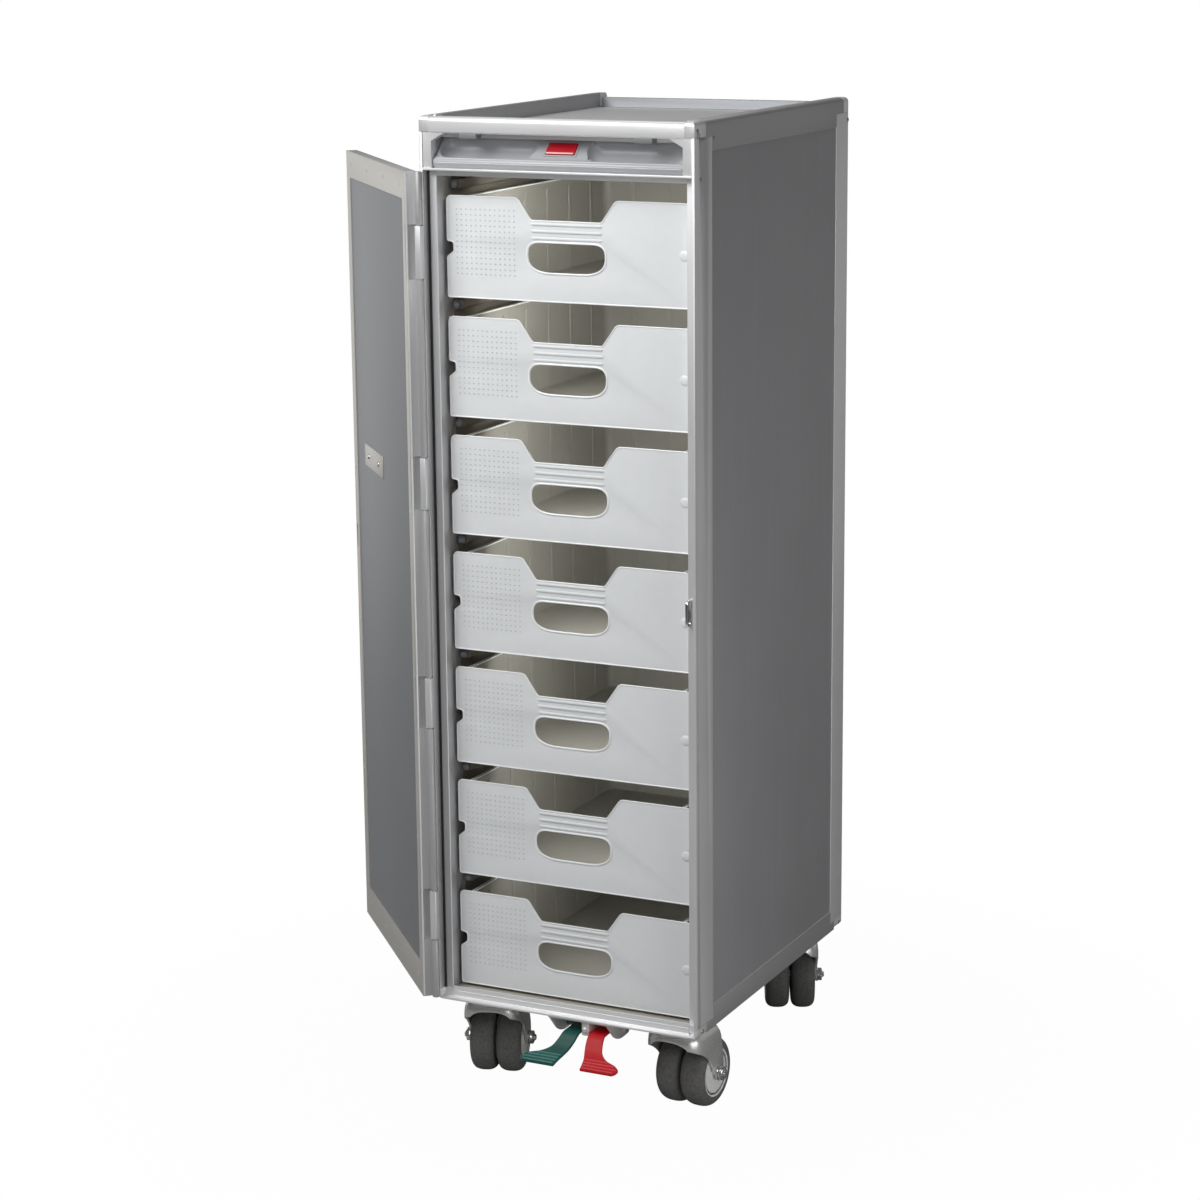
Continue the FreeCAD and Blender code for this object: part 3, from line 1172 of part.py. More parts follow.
# ---------------------------------------------------------------- write every node
def nodes():
    """Every node's name and shape."""
    left_panel, left_liner, left_post = side_panel_left(), runner_liner_left(), front_post_left()
    rear_post, top_side, foot_side = rear_post_left(), top_side_rail_left(), bottom_side_rail_left()
    parts = {
        "side_panel_left": left_panel,
        "side_panel_right": mirrored(left_panel),
        "back_panel": back_panel(),
        "worktop_tray": worktop_tray(),
        "ceiling_panel": ceiling_panel(),
        "base_panel": base_panel(),
        "front_post_left": left_post,
        "front_post_right": mirrored(left_post),
        "rear_posts": group([rear_post, mirrored(rear_post)]),
        "top_rail_front": top_rail_front(),
        "top_rail_rear": top_rail_rear(),
        "top_side_rails": group([top_side, mirrored(top_side)]),
        "front_sill": front_sill(),
        "bottom_rail_rear": bottom_rail_rear(),
        "bottom_side_rails": group([foot_side, mirrored(foot_side)]),
        "corner_caps": corner_caps(),
        "crossbar": crossbar(),
        "handle_fascia": handle_fascia(),
        "grab_handle": grab_handle(),
        "handle_clips": handle_clips(),
        "runner_liner_left": left_liner,
        "runner_liner_right": mirrored(left_liner),
        "runner_tips": runner_tips(),
        "door_seal": door_seal(),
        "latch_keeper": latch_keeper(),
        "hinges": hinges(),
        "frame_rivets": frame_rivets(),
        "brake_bracket": brake_bracket(),
        "brake_shaft": brake_shaft(),
        "caster_plates": caster_plates(),
        "latch_button": latch_button(),
        "pedal_green": pedal(-1),
        "pedal_red": pedal(1),
    }
    door = {
        "door_frame": door_frame(),
        "door_skin": door_skin(),
        "door_core": door_core(),
        "door_inner_pan": door_inner_pan(),
        "door_rivets": door_rivets(),
        "latch_backing_plate": latch_backing_plate(),
        "latch_housing": latch_housing(),
        "latch_paddle": latch_paddle(),
    }
    parts.update({name: swung(shape) for name, shape in door.items()})
    for number in range(DRAWER_COUNT):
        parts[f"drawer_{number + 1}"] = drawer(number)
    for corner in CASTER_TURNS:
        parts[f"caster_fork_{corner}"] = caster_fork(corner)
        parts[f"wheel_{corner}_a"] = wheel(corner, -1)
        parts[f"wheel_{corner}_b"] = wheel(corner, 1)
    return parts


def main():
    """Write one STEP file for every node."""
    os.makedirs("parts", exist_ok=True)
    for name, shape in nodes().items():
        shape.exportStep(f"parts/{name}.step")
        print(name, len(shape.Solids), "solid(s)", round(shape.Volume / 1000, 2), "cm3",
              "valid" if shape.isValid() else "INVALID")


main()
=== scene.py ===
# %% [markdown]
# # A half-size airline galley cart
#
# The real thing is an aluminium box on four twin casters.  Its door hangs open on the left and
# seven milky plastic drawers sit on runners inside.  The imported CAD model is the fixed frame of
# this lesson: every piece here is placed from it, and the lesson adds what sheet metal, extrusions
# and mouldings look like.

# %% Load the frame
import json
import math

import bmesh
import bpy
from mathutils import Matrix, Quaternion, Vector


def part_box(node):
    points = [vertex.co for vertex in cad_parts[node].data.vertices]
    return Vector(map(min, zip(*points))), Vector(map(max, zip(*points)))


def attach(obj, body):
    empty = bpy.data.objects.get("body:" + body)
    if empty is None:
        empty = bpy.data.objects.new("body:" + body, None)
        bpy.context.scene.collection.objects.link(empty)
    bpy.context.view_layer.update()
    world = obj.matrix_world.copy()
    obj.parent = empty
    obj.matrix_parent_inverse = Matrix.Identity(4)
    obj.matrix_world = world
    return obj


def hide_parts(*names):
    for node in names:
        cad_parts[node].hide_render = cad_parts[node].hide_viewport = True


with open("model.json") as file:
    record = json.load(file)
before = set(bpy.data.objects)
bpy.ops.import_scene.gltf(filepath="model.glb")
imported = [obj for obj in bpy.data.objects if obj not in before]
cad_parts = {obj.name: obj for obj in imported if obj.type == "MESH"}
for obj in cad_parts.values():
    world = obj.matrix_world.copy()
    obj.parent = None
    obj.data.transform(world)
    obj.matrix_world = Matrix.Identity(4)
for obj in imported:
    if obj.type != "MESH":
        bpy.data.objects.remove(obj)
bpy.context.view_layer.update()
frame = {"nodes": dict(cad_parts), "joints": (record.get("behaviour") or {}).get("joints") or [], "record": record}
NODES = frame["nodes"]
BODIES = frame["record"]["behaviour"]["bodies"]
BODY_OF = {node: body for body, members in BODIES.items() for node in members}
MM = 0.001

# %% [markdown]
# ## Camera
#
# A long lens far away keeps the tall cart's sides nearly parallel.  The camera is given by where
# it stands, what it looks at and how far it leans, because those are what one sets on a tripod,
# and a matrix of nine numbers would teach nothing.

# %% Place the camera
CAMERA_AT = Vector((1.3466, -2.8649, 1.2289))
LOOKS_AT = Vector((-0.0431, -0.0211, 0.5073))
LEAN = math.radians(-0.55)
LENS = 91.03
camera_data = bpy.data.cameras.new("studio camera")
camera_data.lens = LENS
camera_data.sensor_width = 36.0
camera = bpy.data.objects.new("studio_camera", camera_data)
bpy.context.scene.collection.objects.link(camera)
aim = (LOOKS_AT - CAMERA_AT).to_track_quat("-Z", "Y")
camera.rotation_mode = "QUATERNION"
camera.rotation_quaternion = aim @ Quaternion((0, 0, 1), LEAN)
camera.location = CAMERA_AT
bpy.context.scene.camera = camera
print("camera stands", round((LOOKS_AT - CAMERA_AT).length, 2), "m from its mark")

# %% [markdown]
# ## A small language for finishes
#
# A finish is a Principled shader whose colour, roughness and relief vary a little over the
# surface.  Wiring nodes by hand hides the sums, so a wrapped socket understands + and *, and one
# method adds any other node.

# %% Sockets that do sums
class Field:
    """A number that varies over a surface."""

    def __init__(self, finish, socket):
        self.finish, self.socket = finish, socket

    def sum(self, operation, first, second):
        return self.finish.node("Math", {"operation": operation}, {0: first, 1: second})

    def __add__(self, other):
        return self.sum("ADD", self, other)

    def __radd__(self, other):
        return self.sum("ADD", other, self)

    def __mul__(self, other):
        return self.sum("MULTIPLY", self, other)

    def __rmul__(self, other):
        return self.sum("MULTIPLY", other, self)


print("fields add and multiply")

# %% One procedural material
class Finish:
    """One procedural material."""

    def __init__(self, name, constants=None):
        self.material = bpy.data.materials.new(name)
        self.material.use_nodes = True
        self.tree = self.material.node_tree
        self.tree.nodes.clear()
        self.shader = self.tree.nodes.new("ShaderNodeBsdfPrincipled")
        self.surface = self.tree.nodes.new("ShaderNodeOutputMaterial")
        self.tree.links.new(self.shader.outputs[0], self.surface.inputs[0])
        for socket, value in (constants or {}).items():
            self.shader.inputs[socket].default_value = value
        self.place = self.node("TexCoord", output="Object")

    def node(self, kind, settings=None, inputs=None, output=0):
        """Adds a node, sets it up, and gives back one of its outputs."""
        made = self.tree.nodes.new("ShaderNode" + kind)
        for key, value in (settings or {}).items():
            if key == "stops":
                for element, (position, colour) in zip(made.color_ramp.elements, value):
                    element.position, element.color = position, colour
            else:
                setattr(made, key, value)
        for key, value in (inputs or {}).items():
            if isinstance(value, Field):
                self.tree.links.new(value.socket, made.inputs[key])
            else:
                made.inputs[key].default_value = value
        return Field(self, made.outputs[output])

    def noise(self, stretch, detail=3.0, shift=(0, 0, 0)):
        spot = self.node("Mapping", None, {"Vector": self.place, "Scale": stretch, "Location": shift})
        return self.node("TexNoise", None, {"Vector": spot, "Scale": 1.0, "Detail": detail})

    def colours(self, field, colour, contrast):
        """A colour that swings a little darker and lighter as the field does."""
        stops = [(0.3, (*shade(colour, 1 - contrast), 1)), (0.7, (*shade(colour, 1 + contrast), 1))]
        return self.node("ValToRGB", {"stops": stops}, {"Fac": field})

    def feed(self, socket, field):
        self.tree.links.new(field.socket, self.shader.inputs[socket])

    def relief(self, height, depth):
        bump = self.node("Bump", None, {"Height": height, "Distance": depth, "Strength": 1.0}, "Normal")
        self.feed("Normal", bump)


def shade(colour, factor):
    return tuple(min(1.0, c * factor) for c in colour)


print("finish tools ready")

# %% [markdown]
# ## Metals
#
# Sheet is brushed in one direction, so its grain is noise stretched along that direction.
# Extrusions are anodised: finer, paler, with faint draw lines along their length.  Both are the
# same recipe with other numbers, so one function makes them all.

# %% Brushed and anodised aluminium, zinc and chrome
FINE = 900.0
LONG = 7.0
STRETCH = {
    "x": (LONG, FINE, FINE),
    "y": (FINE, LONG, FINE),
    "z": (FINE, FINE, LONG),
    "none": (FINE, FINE, FINE),
}


def drawn_metal(name, colour, along, roughness, metallic=1.0, contrast=0.10, depth=0.00002, mottle=0.05):
    """Streaks along one direction, mixed with faint clouds; both also move the roughness."""
    finish = Finish(name, {"Metallic": metallic, "Specular IOR Level": 0.5})
    streaks = finish.noise(STRETCH[along], 4.0)
    clouds = finish.noise((11, 11, 11), 3.0, (3, 1, 2))
    cloudiness = mottle / contrast * 0.4
    tone = streaks * (1 - cloudiness) + clouds * cloudiness
    finish.feed("Base Color", finish.colours(tone, colour, contrast))
    finish.feed("Roughness", streaks * 0.14 + clouds * 0.08 + (roughness - 0.11))
    finish.relief(streaks, depth)
    return finish.material


FINISH = {
    "frame": drawn_metal("anodised frame", (0.82, 0.82, 0.83), "z", 0.42, 0.6, 0.03),
    "frame_x": drawn_metal("anodised cross rails", (0.88, 0.88, 0.89), "x", 0.42, 0.5, 0.03),
    # The side rails are the frame's own anodised metal; their darker colour is painted shade.
    "frame_y": drawn_metal("anodised side rails, painted shade", (0.48, 0.48, 0.49), "y", 0.5, 0.8, 0.03),
    "panel": drawn_metal("brushed side panel", (0.44, 0.44, 0.455), "z", 0.62, 0.75, 0.07),
    "tray": drawn_metal("brushed worktop", (0.72, 0.72, 0.72), "x", 0.45, 0.6, 0.04),
    "lining": drawn_metal("inner lining", (0.47, 0.45, 0.39), "z", 0.5, 0.15, 0.06),
    "runner": drawn_metal("runner rail", (0.19, 0.17, 0.14), "y", 0.5, 0.2, 0.08),
    # A darker copy of the frame's anodised metal: painted shade on faces that turn away from the light.
    "jamb_painted_shade": drawn_metal("anodised inner faces, painted shade", (0.55, 0.55, 0.56), "z", 0.5, 0.6, 0.04),
    "door_rim": drawn_metal("door rim", (0.62, 0.60, 0.56), "none", 0.45, 0.6, 0.06),
    "door_pan": drawn_metal("door inner sheet", (0.34, 0.35, 0.365), "z", 0.58, 0.7, 0.06),
    "zinc": drawn_metal("zinc plate", (0.76, 0.755, 0.73), "none", 0.30, 0.75, 0.03, 0.000003, 0.03),
    "plate": drawn_metal("pressed plate", (0.80, 0.80, 0.78), "none", 0.45, 0.5, 0.06, 0.00001),
    "rivet": drawn_metal("rivet metal", (0.36, 0.36, 0.36), "none", 0.35, 0.9, 0.05),
    "chrome": drawn_metal("bright plate", (0.72, 0.72, 0.72), "none", 0.16, 1.0, 0.02, 0.000004),
}
print("metals", len(FINISH))

# %% [markdown]
# ## Plastics, paint and rubber
#
# Moulded plastic has a fine sparkle from the tool's texture, and a polished tool leaves nearly
# none.  The drawers are milky polypropylene: a little light passes through, so the shader is
# slightly see-through.  Rubber is the same recipe with a coarse, deep speckle.

# %% Moulded, milky, painted and rubber finishes
CLEAR_TOOL = (90.0, 0.02, 0.00001)
PAINT = (700.0, 0.05, 0.00001)


def moulded(name, colour, roughness, grain=1500.0, contrast=0.06, depth=0.00003, constants=None):
    """A fine speckle from the tool's texture over faint clouds."""
    finish = Finish(name, {"Metallic": 0.0, **(constants or {})})
    speckle = finish.noise((grain, grain, grain), 2.0)
    clouds = finish.noise((14, 14, 14), 3.0)
    tone = speckle * 0.5 + clouds * 0.5
    finish.feed("Base Color", finish.colours(tone, colour, contrast))
    finish.feed("Roughness", clouds * 0.12 + (roughness - 0.06))
    finish.relief(speckle, depth)
    return finish.material


FINISH.update({
    "drawer": moulded("milky drawer plastic", (0.84, 0.86, 0.87), 0.34, *CLEAR_TOOL,
                      {"Alpha": 0.93, "Subsurface Weight": 0.15, "Subsurface Radius": (0.006, 0.006, 0.006)}),
    # The walls are the same milky plastic as the front; their darker taupe tone is painted shade for the dim
    # inside of the cart.
    "drawer_box": moulded("thin drawer walls", (0.50, 0.485, 0.43), 0.36, *CLEAR_TOOL, {"Alpha": 0.6}),
    # The drawer's own plastic, paler on its rims and edge beads as painted highlight.
    "drawer_edge": moulded("drawer edge", (0.93, 0.94, 0.95), 0.3, 90.0, 0.01, 0.00001),
    "handle": moulded("grey handle moulding", (0.40, 0.41, 0.425), 0.30, 1600.0, 0.05),
    "tip": moulded("runner tip plastic", (0.20, 0.21, 0.225), 0.45),
    "red": moulded("red button plastic", (0.55, 0.008, 0.02), 0.3),
    # A pale pink for the red button's lip: painted highlight.
    "red_lip": moulded("button lip, painted highlight", (0.85, 0.55, 0.56), 0.3),
    "pedal_red": moulded("red pedal paint", (0.56, 0.002, 0.008), 0.48, *PAINT, {"Coat Weight": 0.05}),
    "pedal_green": moulded("green pedal paint", (0.001, 0.075, 0.06), 0.4, *PAINT, {"Coat Weight": 0.15}),
    "seal": moulded("seal rubber", (0.02, 0.02, 0.02), 0.6),
    "tyre": moulded("grey tyre rubber", (0.14, 0.138, 0.134), 0.66, 420.0, 0.38, 0.0002),
    "hub": moulded("hub plastic", (0.93, 0.93, 0.92), 0.4),
    # A dark ring that stands for a groove's shade: painted shade.
    "groove": moulded("groove, painted shade", (0.12, 0.12, 0.12), 0.6),
    # The dots are the drawer's own plastic; their darker colour is painted shade.
    "drawer_dot": moulded("drawer dots", (0.60, 0.62, 0.63), 0.4, *CLEAR_TOOL),
    # The handle's own plastic, paler as painted highlight on the lip lines.
    "handle_line": moulded("handle edge, painted highlight", (0.60, 0.61, 0.63), 0.3, 1600.0, 0.03),
    "clip": moulded("clip plastic", (0.20, 0.205, 0.21), 0.4),
    # Paler copies of the pedal paints for the ribs: painted highlight.
    "pedal_red_rib": moulded("red pedal ribs", (0.75, 0.10, 0.12), 0.35),
    "pedal_green_rib": moulded("green pedal ribs", (0.10, 0.30, 0.27), 0.35),
    "foam": moulded("core foam", (0.70, 0.68, 0.58), 0.8),
})
print("finishes", len(FINISH))

# %% [markdown]
# ## Keeping a piece
#
# Every finished piece sits at the origin with its place in its mesh, gets its finish, rides on
# its body and may stand for a CAD node.  One helper does that, so no piece is forgotten.

# %% Keep a mesh as a finished piece
SMOOTH_BELOW = 28


def keep(mesh, name, body, finishes, stands_for=(), angle=SMOOTH_BELOW):
    """Gives a mesh its finish and body and hides the CAD nodes it stands for; edges that turn by more than the
    angle stay crisp.
    """
    piece = bpy.data.objects.new(name, mesh)
    bpy.context.scene.collection.objects.link(piece)
    mesh.materials.clear()
    for finish in ([finishes] if isinstance(finishes, str) else finishes):
        mesh.materials.append(FINISH[finish])
    mesh.shade_smooth()
    mesh.set_sharp_from_angle(angle=math.radians(angle))
    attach(piece, body)
    if stands_for:
        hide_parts(*stands_for)
    return piece


print("faces are smooth below", SMOOTH_BELOW, "degrees")

# %% [markdown]
# ## Plain meshes and eased edges
#
# Modifiers and curves are quick ways to a shape, but a finished piece has to be a plain mesh.  So
# each shape is made on a worker object, evaluated once, and the worker is thrown away.

# %% Worker objects, eased edges and clean copies
SAME_POINT = 1e-6
FLAT_BELOW = math.radians(0.5)


def as_mesh(bm):
    mesh = bpy.data.meshes.new("shape")
    bm.to_mesh(mesh)
    bm.free()
    return mesh


def plain_mesh(data, prepare=None):
    """What a worker object with this data evaluates to, once prepare has given it modifiers."""
    worker = bpy.data.objects.new("worker", data)
    bpy.context.scene.collection.objects.link(worker)
    if prepare:
        prepare(worker)
    bpy.context.view_layer.update()
    evaluated = worker.evaluated_get(bpy.context.evaluated_depsgraph_get())
    made = bpy.data.meshes.new_from_object(evaluated)
    bpy.data.objects.remove(worker)
    return made


def with_modifiers(mesh, steps):
    """The mesh after a list of (modifier type, settings)."""
    def prepare(worker):
        for kind, settings in steps:
            modifier = worker.modifiers.new(kind.lower(), kind)
            for key, value in settings.items():
                setattr(modifier, key, value)

    return plain_mesh(mesh, prepare)


def eased_mesh(mesh, width, segments=2, angle=30):
    """Edges rounded over, as a deburred or moulded part has them."""
    settings = {"width": width, "segments": segments, "limit_method": "ANGLE",
                "angle_limit": math.radians(angle), "harden_normals": False}
    return with_modifiers(mesh, [("BEVEL", settings)])


def cad_copy(node):
    """A clean copy of a CAD node: loose triangles merged into flat faces."""
    bm = bmesh.new()
    bm.from_mesh(NODES[node].data)
    bmesh.ops.remove_doubles(bm, verts=bm.verts, dist=SAME_POINT)
    bmesh.ops.dissolve_limit(bm, angle_limit=FLAT_BELOW, verts=bm.verts, edges=bm.edges)
    return as_mesh(bm)


def eased_node(node, finish, width):
    mesh = eased_mesh(cad_copy(node), width * MM)
    return keep(mesh, node + "_finished", BODY_OF[node], finish, [node])


print("helpers ready")

# %% [markdown]
# ## Frame, panels and plates
#
# These shapes are exactly the CAD's, only its edges are too sharp: a real edge catches a thin
# line of light.  A copy of each node gets a bevel of a few tenths of a millimetre.  Where a row
# names two finishes, a later step chooses the faces that get the second.

# %% Ease the edges of the metal nodes
EASED = {
    "front_post_left": (["frame", "jamb_painted_shade"], 0.5),
    "front_post_right": ("frame", 0.5),
    "rear_posts": ("frame", 0.5),
    "top_rail_front": ("frame_x", 0.5),
    # The rear top rail is pale anodised metal like the frame; the darker door sheet finish on it is painted shade.
    "top_rail_rear": ("door_pan", 0.5),
    "top_side_rails": ("frame_y", 0.5),
    "front_sill": ("frame_x", 0.35),
    "bottom_rail_rear": ("frame_x", 0.5),
    "bottom_side_rails": ("frame_y", 0.5),
    "corner_caps": ("frame", 0.6),
    "crossbar": ("frame_x", 0.35),
    "handle_fascia": ("frame_x", 0.4),
    "side_panel_left": ("panel", 0.3),
    "side_panel_right": ("panel", 0.3),
    "back_panel": ("panel", 0.3),
    "worktop_tray": ("tray", 0.5),
    "ceiling_panel": ("lining", 0.3),
    "base_panel": ("lining", 0.3),
    "runner_liner_left": ("runner", 0.3),
    "runner_liner_right": ("runner", 0.3),
    "door_frame": (["door_rim", "jamb_painted_shade"], 0.5),
    "door_skin": ("panel", 0.3),
    "door_core": ("foam", 0.3),
    "door_inner_pan": ("door_pan", 0.2),
    "latch_backing_plate": ("door_rim", 0.2),
    "latch_housing": ("zinc", 0.6),
    "latch_paddle": ("zinc", 0.4),
    "handle_clips": ("clip", 0.5),
    "door_seal": ("seal", 0.3),
    "latch_keeper": ("chrome", 0.3),
    "hinges": ("frame", 0.25),
    "brake_shaft": ("zinc", 0.3),
    "caster_plates": ("zinc", 0.4),
}
EASED_PIECES = {node: eased_node(node, finish, width) for node, (finish, width) in EASED.items()}
print("eased nodes", len(EASED_PIECES))

# %% [markdown]
# ## Outlines with soft corners
#
# Sheet and moulded parts start as a flat outline.  A corner is a bend that heads for the sharp
# corner and turns away before it, and a free shape runs smoothly through a few stations, so an
# outline keeps only the points that its shape needs.

# %% Bends, rounded corners, rings and smooth runs
LONGEST_RUN = 0.49


def bend(start, corner, end, steps=9):
    """Points on a smooth bend from start to end that heads for the corner."""
    start, corner, end = (Vector(p) for p in (start, corner, end))
    shares = [n / steps for n in range(steps + 1)]
    return [start * (1 - t) ** 2 + corner * 2 * t * (1 - t) + end * t ** 2 for t in shares]


def rounded(points, radii, steps=6):
    """A closed outline whose corners are bends; one corner takes less than half of a side."""
    result = []
    for n, (corner, radius) in enumerate(zip(points, radii)):
        here = Vector(corner)
        back = Vector(points[n - 1]) - here
        ahead = Vector(points[(n + 1) % len(points)]) - here
        run = radius / math.tan(back.angle(ahead) / 2)
        run = min(run, back.length * LONGEST_RUN, ahead.length * LONGEST_RUN)
        result += bend(here + back.normalized() * run, here, here + ahead.normalized() * run, steps)
    return result


def ring(radius, count, power=1.0):
    """Points round a circle, or round a squarish one where the power is below 1."""
    points = []
    for n in range(count):
        a = 2 * math.pi * n / count
        c, s = math.cos(a), math.sin(a)
        points.append((radius * math.copysign(abs(c) ** power, c),
                       radius * math.copysign(abs(s) ** power, s)))
    return points


def smooth_run(stations, steps):
    """Points on a smooth curve through stations, all numbers of a station together."""
    result = []
    last = len(stations) - 1
    for n in range(last):
        near = [stations[max(0, n - 1)], stations[n], stations[n + 1], stations[min(last, n + 2)]]
        for step in range(steps):
            t = step / steps
            result.append([0.5 * (2 * b + (c - a) * t + (2 * a - 5 * b + 4 * c - d) * t * t
                                  + (3 * b - a - 3 * c + d) * t ** 3) for a, b, c, d in zip(*near)])
    result.append(list(stations[-1]))
    return result


print("outline makers ready")

# %% [markdown]
# ## Plates and beads
#
# Blender fills a flat curve and gives it thickness and a rounded edge in one go, which is how a
# punched or moulded plate looks, holes included.  The same kind of curve with a round section is
# a bead, or a thin bright line along an edge.

# %% Plates and beads from curves
def poly_curve(dimensions, outlines, closed=True):
    curve = bpy.data.curves.new("outline", "CURVE")
    curve.dimensions = dimensions
    for outline in outlines:
        spline = curve.splines.new("POLY")
        spline.points.add(len(outline) - 1)
        for point, place in zip(spline.points, outline):
            point.co = (*Vector(place).to_3d(), 1)
        spline.use_cyclic_u = closed
    return curve


def plate(outlines, thickness, edge):
    """A flat plate in XY from an outer outline and holes, its edges rounded over."""
    curve = poly_curve("2D", outlines)
    curve.fill_mode = "BOTH"
    curve.extrude = thickness / 2 - edge
    curve.bevel_depth = edge
    curve.offset = -edge
    curve.bevel_resolution = 2
    bm = bmesh.new()
    bm.from_mesh(plain_mesh(curve))
    bmesh.ops.remove_doubles(bm, verts=bm.verts, dist=SAME_POINT)
    bmesh.ops.recalc_face_normals(bm, faces=bm.faces)
    return as_mesh(bm)


def bead(points, radius, closed=True):
    """A thin round line along points."""
    curve = poly_curve("3D", [points], closed)
    curve.bevel_depth = radius
    curve.bevel_resolution = 1
    return plain_mesh(curve)


print("plates and beads ready")

# %% [markdown]
# ## Turned, lofted and blocked shapes
#
# Wheels, flanges and bolts come off a lathe, so they are a closed profile turned about an axle.
# Pressed and drawn pieces are a run of sections with a skin over them, and a bar or a pad is a
# block with eased edges.

# %% Lathe, skin and block
def skin(bm, rows):
    """Faces between each row of corners and the next."""
    count = len(rows[0])
    for first, second in zip(rows, rows[1:]):
        for n in range(count):
            m = (n + 1) % count
            bm.faces.new((first[n], first[m], second[m], second[n]))


def turned(profile, steps):
    """A closed profile of (along, radius) in millimetres, turned about the X axis."""
    bm = bmesh.new()
    rings = [[bm.verts.new((along * MM, y * MM, z * MM)) for y, z in ring(radius, steps)]
             for along, radius in profile]
    skin(bm, rings + rings[:1])
    bmesh.ops.recalc_face_normals(bm, faces=bm.faces)
    return as_mesh(bm)


def lofted(sections):
    """Skin over sections that have the same number of points each, closed at both ends."""
    bm = bmesh.new()
    rows = [[bm.verts.new(p) for p in section] for section in sections]
    skin(bm, rows)
    bm.faces.new(rows[0])
    bm.faces.new(rows[-1])
    bmesh.ops.recalc_face_normals(bm, faces=bm.faces)
    return as_mesh(bm)


def drawn(outline, xs, start=(0, 0, 0)):
    """An outline of (y, z) pulled along X, in millimetres from a start point in metres."""
    x0, y0, z0 = start
    return lofted([[(x0 + x * MM, y0 + y * MM, z0 + z * MM) for y, z in outline] for x in xs])


def block(low, high):
    """A block between two corners."""
    bm = bmesh.new()
    for v in bmesh.ops.create_cube(bm, size=1.0)["verts"]:
        v.co = [(a + b) / 2 + c * (b - a) for a, b, c in zip(low, high, v.co)]
    return as_mesh(bm)


def eased_block(low, high, width, segments=2):
    return eased_mesh(block(low, high), width, segments)


print("solid makers ready")

# %% [markdown]
# ## Putting shapes together
#
# A finished piece is often several shapes in one mesh, or one shape with others cut out of it.
# These last helpers move, join and cut.

# %% Place, gather and cut
def placed(mesh, matrix):
    mesh.transform(matrix)
    return mesh


def gathered(meshes):
    """Several meshes as one."""
    bm = bmesh.new()
    for mesh in meshes:
        bm.from_mesh(mesh)
    return as_mesh(bm)


def cut(mesh, tools, operation="DIFFERENCE"):
    """Boolean of a mesh with tool meshes."""
    workers = [bpy.data.objects.new("tool", tool) for tool in tools]
    for worker in workers:
        bpy.context.scene.collection.objects.link(worker)
    steps = [("BOOLEAN", {"operation": operation, "object": worker, "solver": "EXACT"}) for worker in workers]
    result = with_modifiers(mesh, steps)
    for worker in workers:
        bpy.data.objects.remove(worker)
    return result


def axes(right, up, out):
    """A turn that sends X, Y and Z to three directions."""
    return Matrix((right, up, out)).transposed().to_4x4()


print("joining tools ready")

# %% [markdown]
# ## Rivets and raised dots by Geometry Nodes
#
# A rivet is one small dome repeated at many places.  A node tree puts a flattened ball on every
# point it gets and turns it to face along the point's own direction, so sizes are changed in one
# place.  The dots moulded into the drawer fronts come from the same tree.

# %% The tree that puts a dome on every point
def dome_tree():
    tree = bpy.data.node_groups.new("domes on points", "GeometryNodeTree")
    face = tree.interface
    face.new_socket("Geometry", in_out="INPUT", socket_type="NodeSocketGeometry")
    for name in ("Dome Radius", "Dome Height"):
        face.new_socket(name, in_out="INPUT", socket_type="NodeSocketFloat")
    face.new_socket("Dome Sides", in_out="INPUT", socket_type="NodeSocketInt")
    face.new_socket("Finish", in_out="INPUT", socket_type="NodeSocketMaterial")
    face.new_socket("Geometry", in_out="OUTPUT", socket_type="NodeSocketGeometry")
    add = tree.nodes.new
    given, done = add("NodeGroupInput"), add("NodeGroupOutput")
    ball, flatten = add("GeometryNodeMeshUVSphere"), add("GeometryNodeTransform")
    size = add("ShaderNodeCombineXYZ")
    direction = add("GeometryNodeInputNamedAttribute")
    direction.data_type = "FLOAT_VECTOR"
    direction.inputs["Name"].default_value = "facing"
    turn = add("FunctionNodeAlignRotationToVector")
    turn.axis = "Z"
    spread, solid = add("GeometryNodeInstanceOnPoints"), add("GeometryNodeRealizeInstances")
    paint = add("GeometryNodeSetMaterial")
    link = tree.links.new
    link(given.outputs["Dome Sides"], ball.inputs["Segments"])
    ball.inputs["Rings"].default_value = 6
    ball.inputs["Radius"].default_value = 1.0
    link(given.outputs["Dome Radius"], size.inputs["X"])
    link(given.outputs["Dome Radius"], size.inputs["Y"])
    link(given.outputs["Dome Height"], size.inputs["Z"])
    link(ball.outputs["Mesh"], flatten.inputs["Geometry"])
    link(size.outputs[0], flatten.inputs["Scale"])
    link(given.outputs["Geometry"], spread.inputs["Points"])
    link(flatten.outputs["Geometry"], spread.inputs["Instance"])
    link(direction.outputs["Attribute"], turn.inputs["Vector"])
    link(turn.outputs[0], spread.inputs["Rotation"])
    link(spread.outputs["Instances"], solid.inputs[0])
    link(solid.outputs[0], paint.inputs["Geometry"])
    link(given.outputs["Finish"], paint.inputs["Material"])
    link(paint.outputs["Geometry"], done.inputs[0])
    return tree


DOMES = dome_tree()
print("dome tree nodes", len(DOMES.nodes))

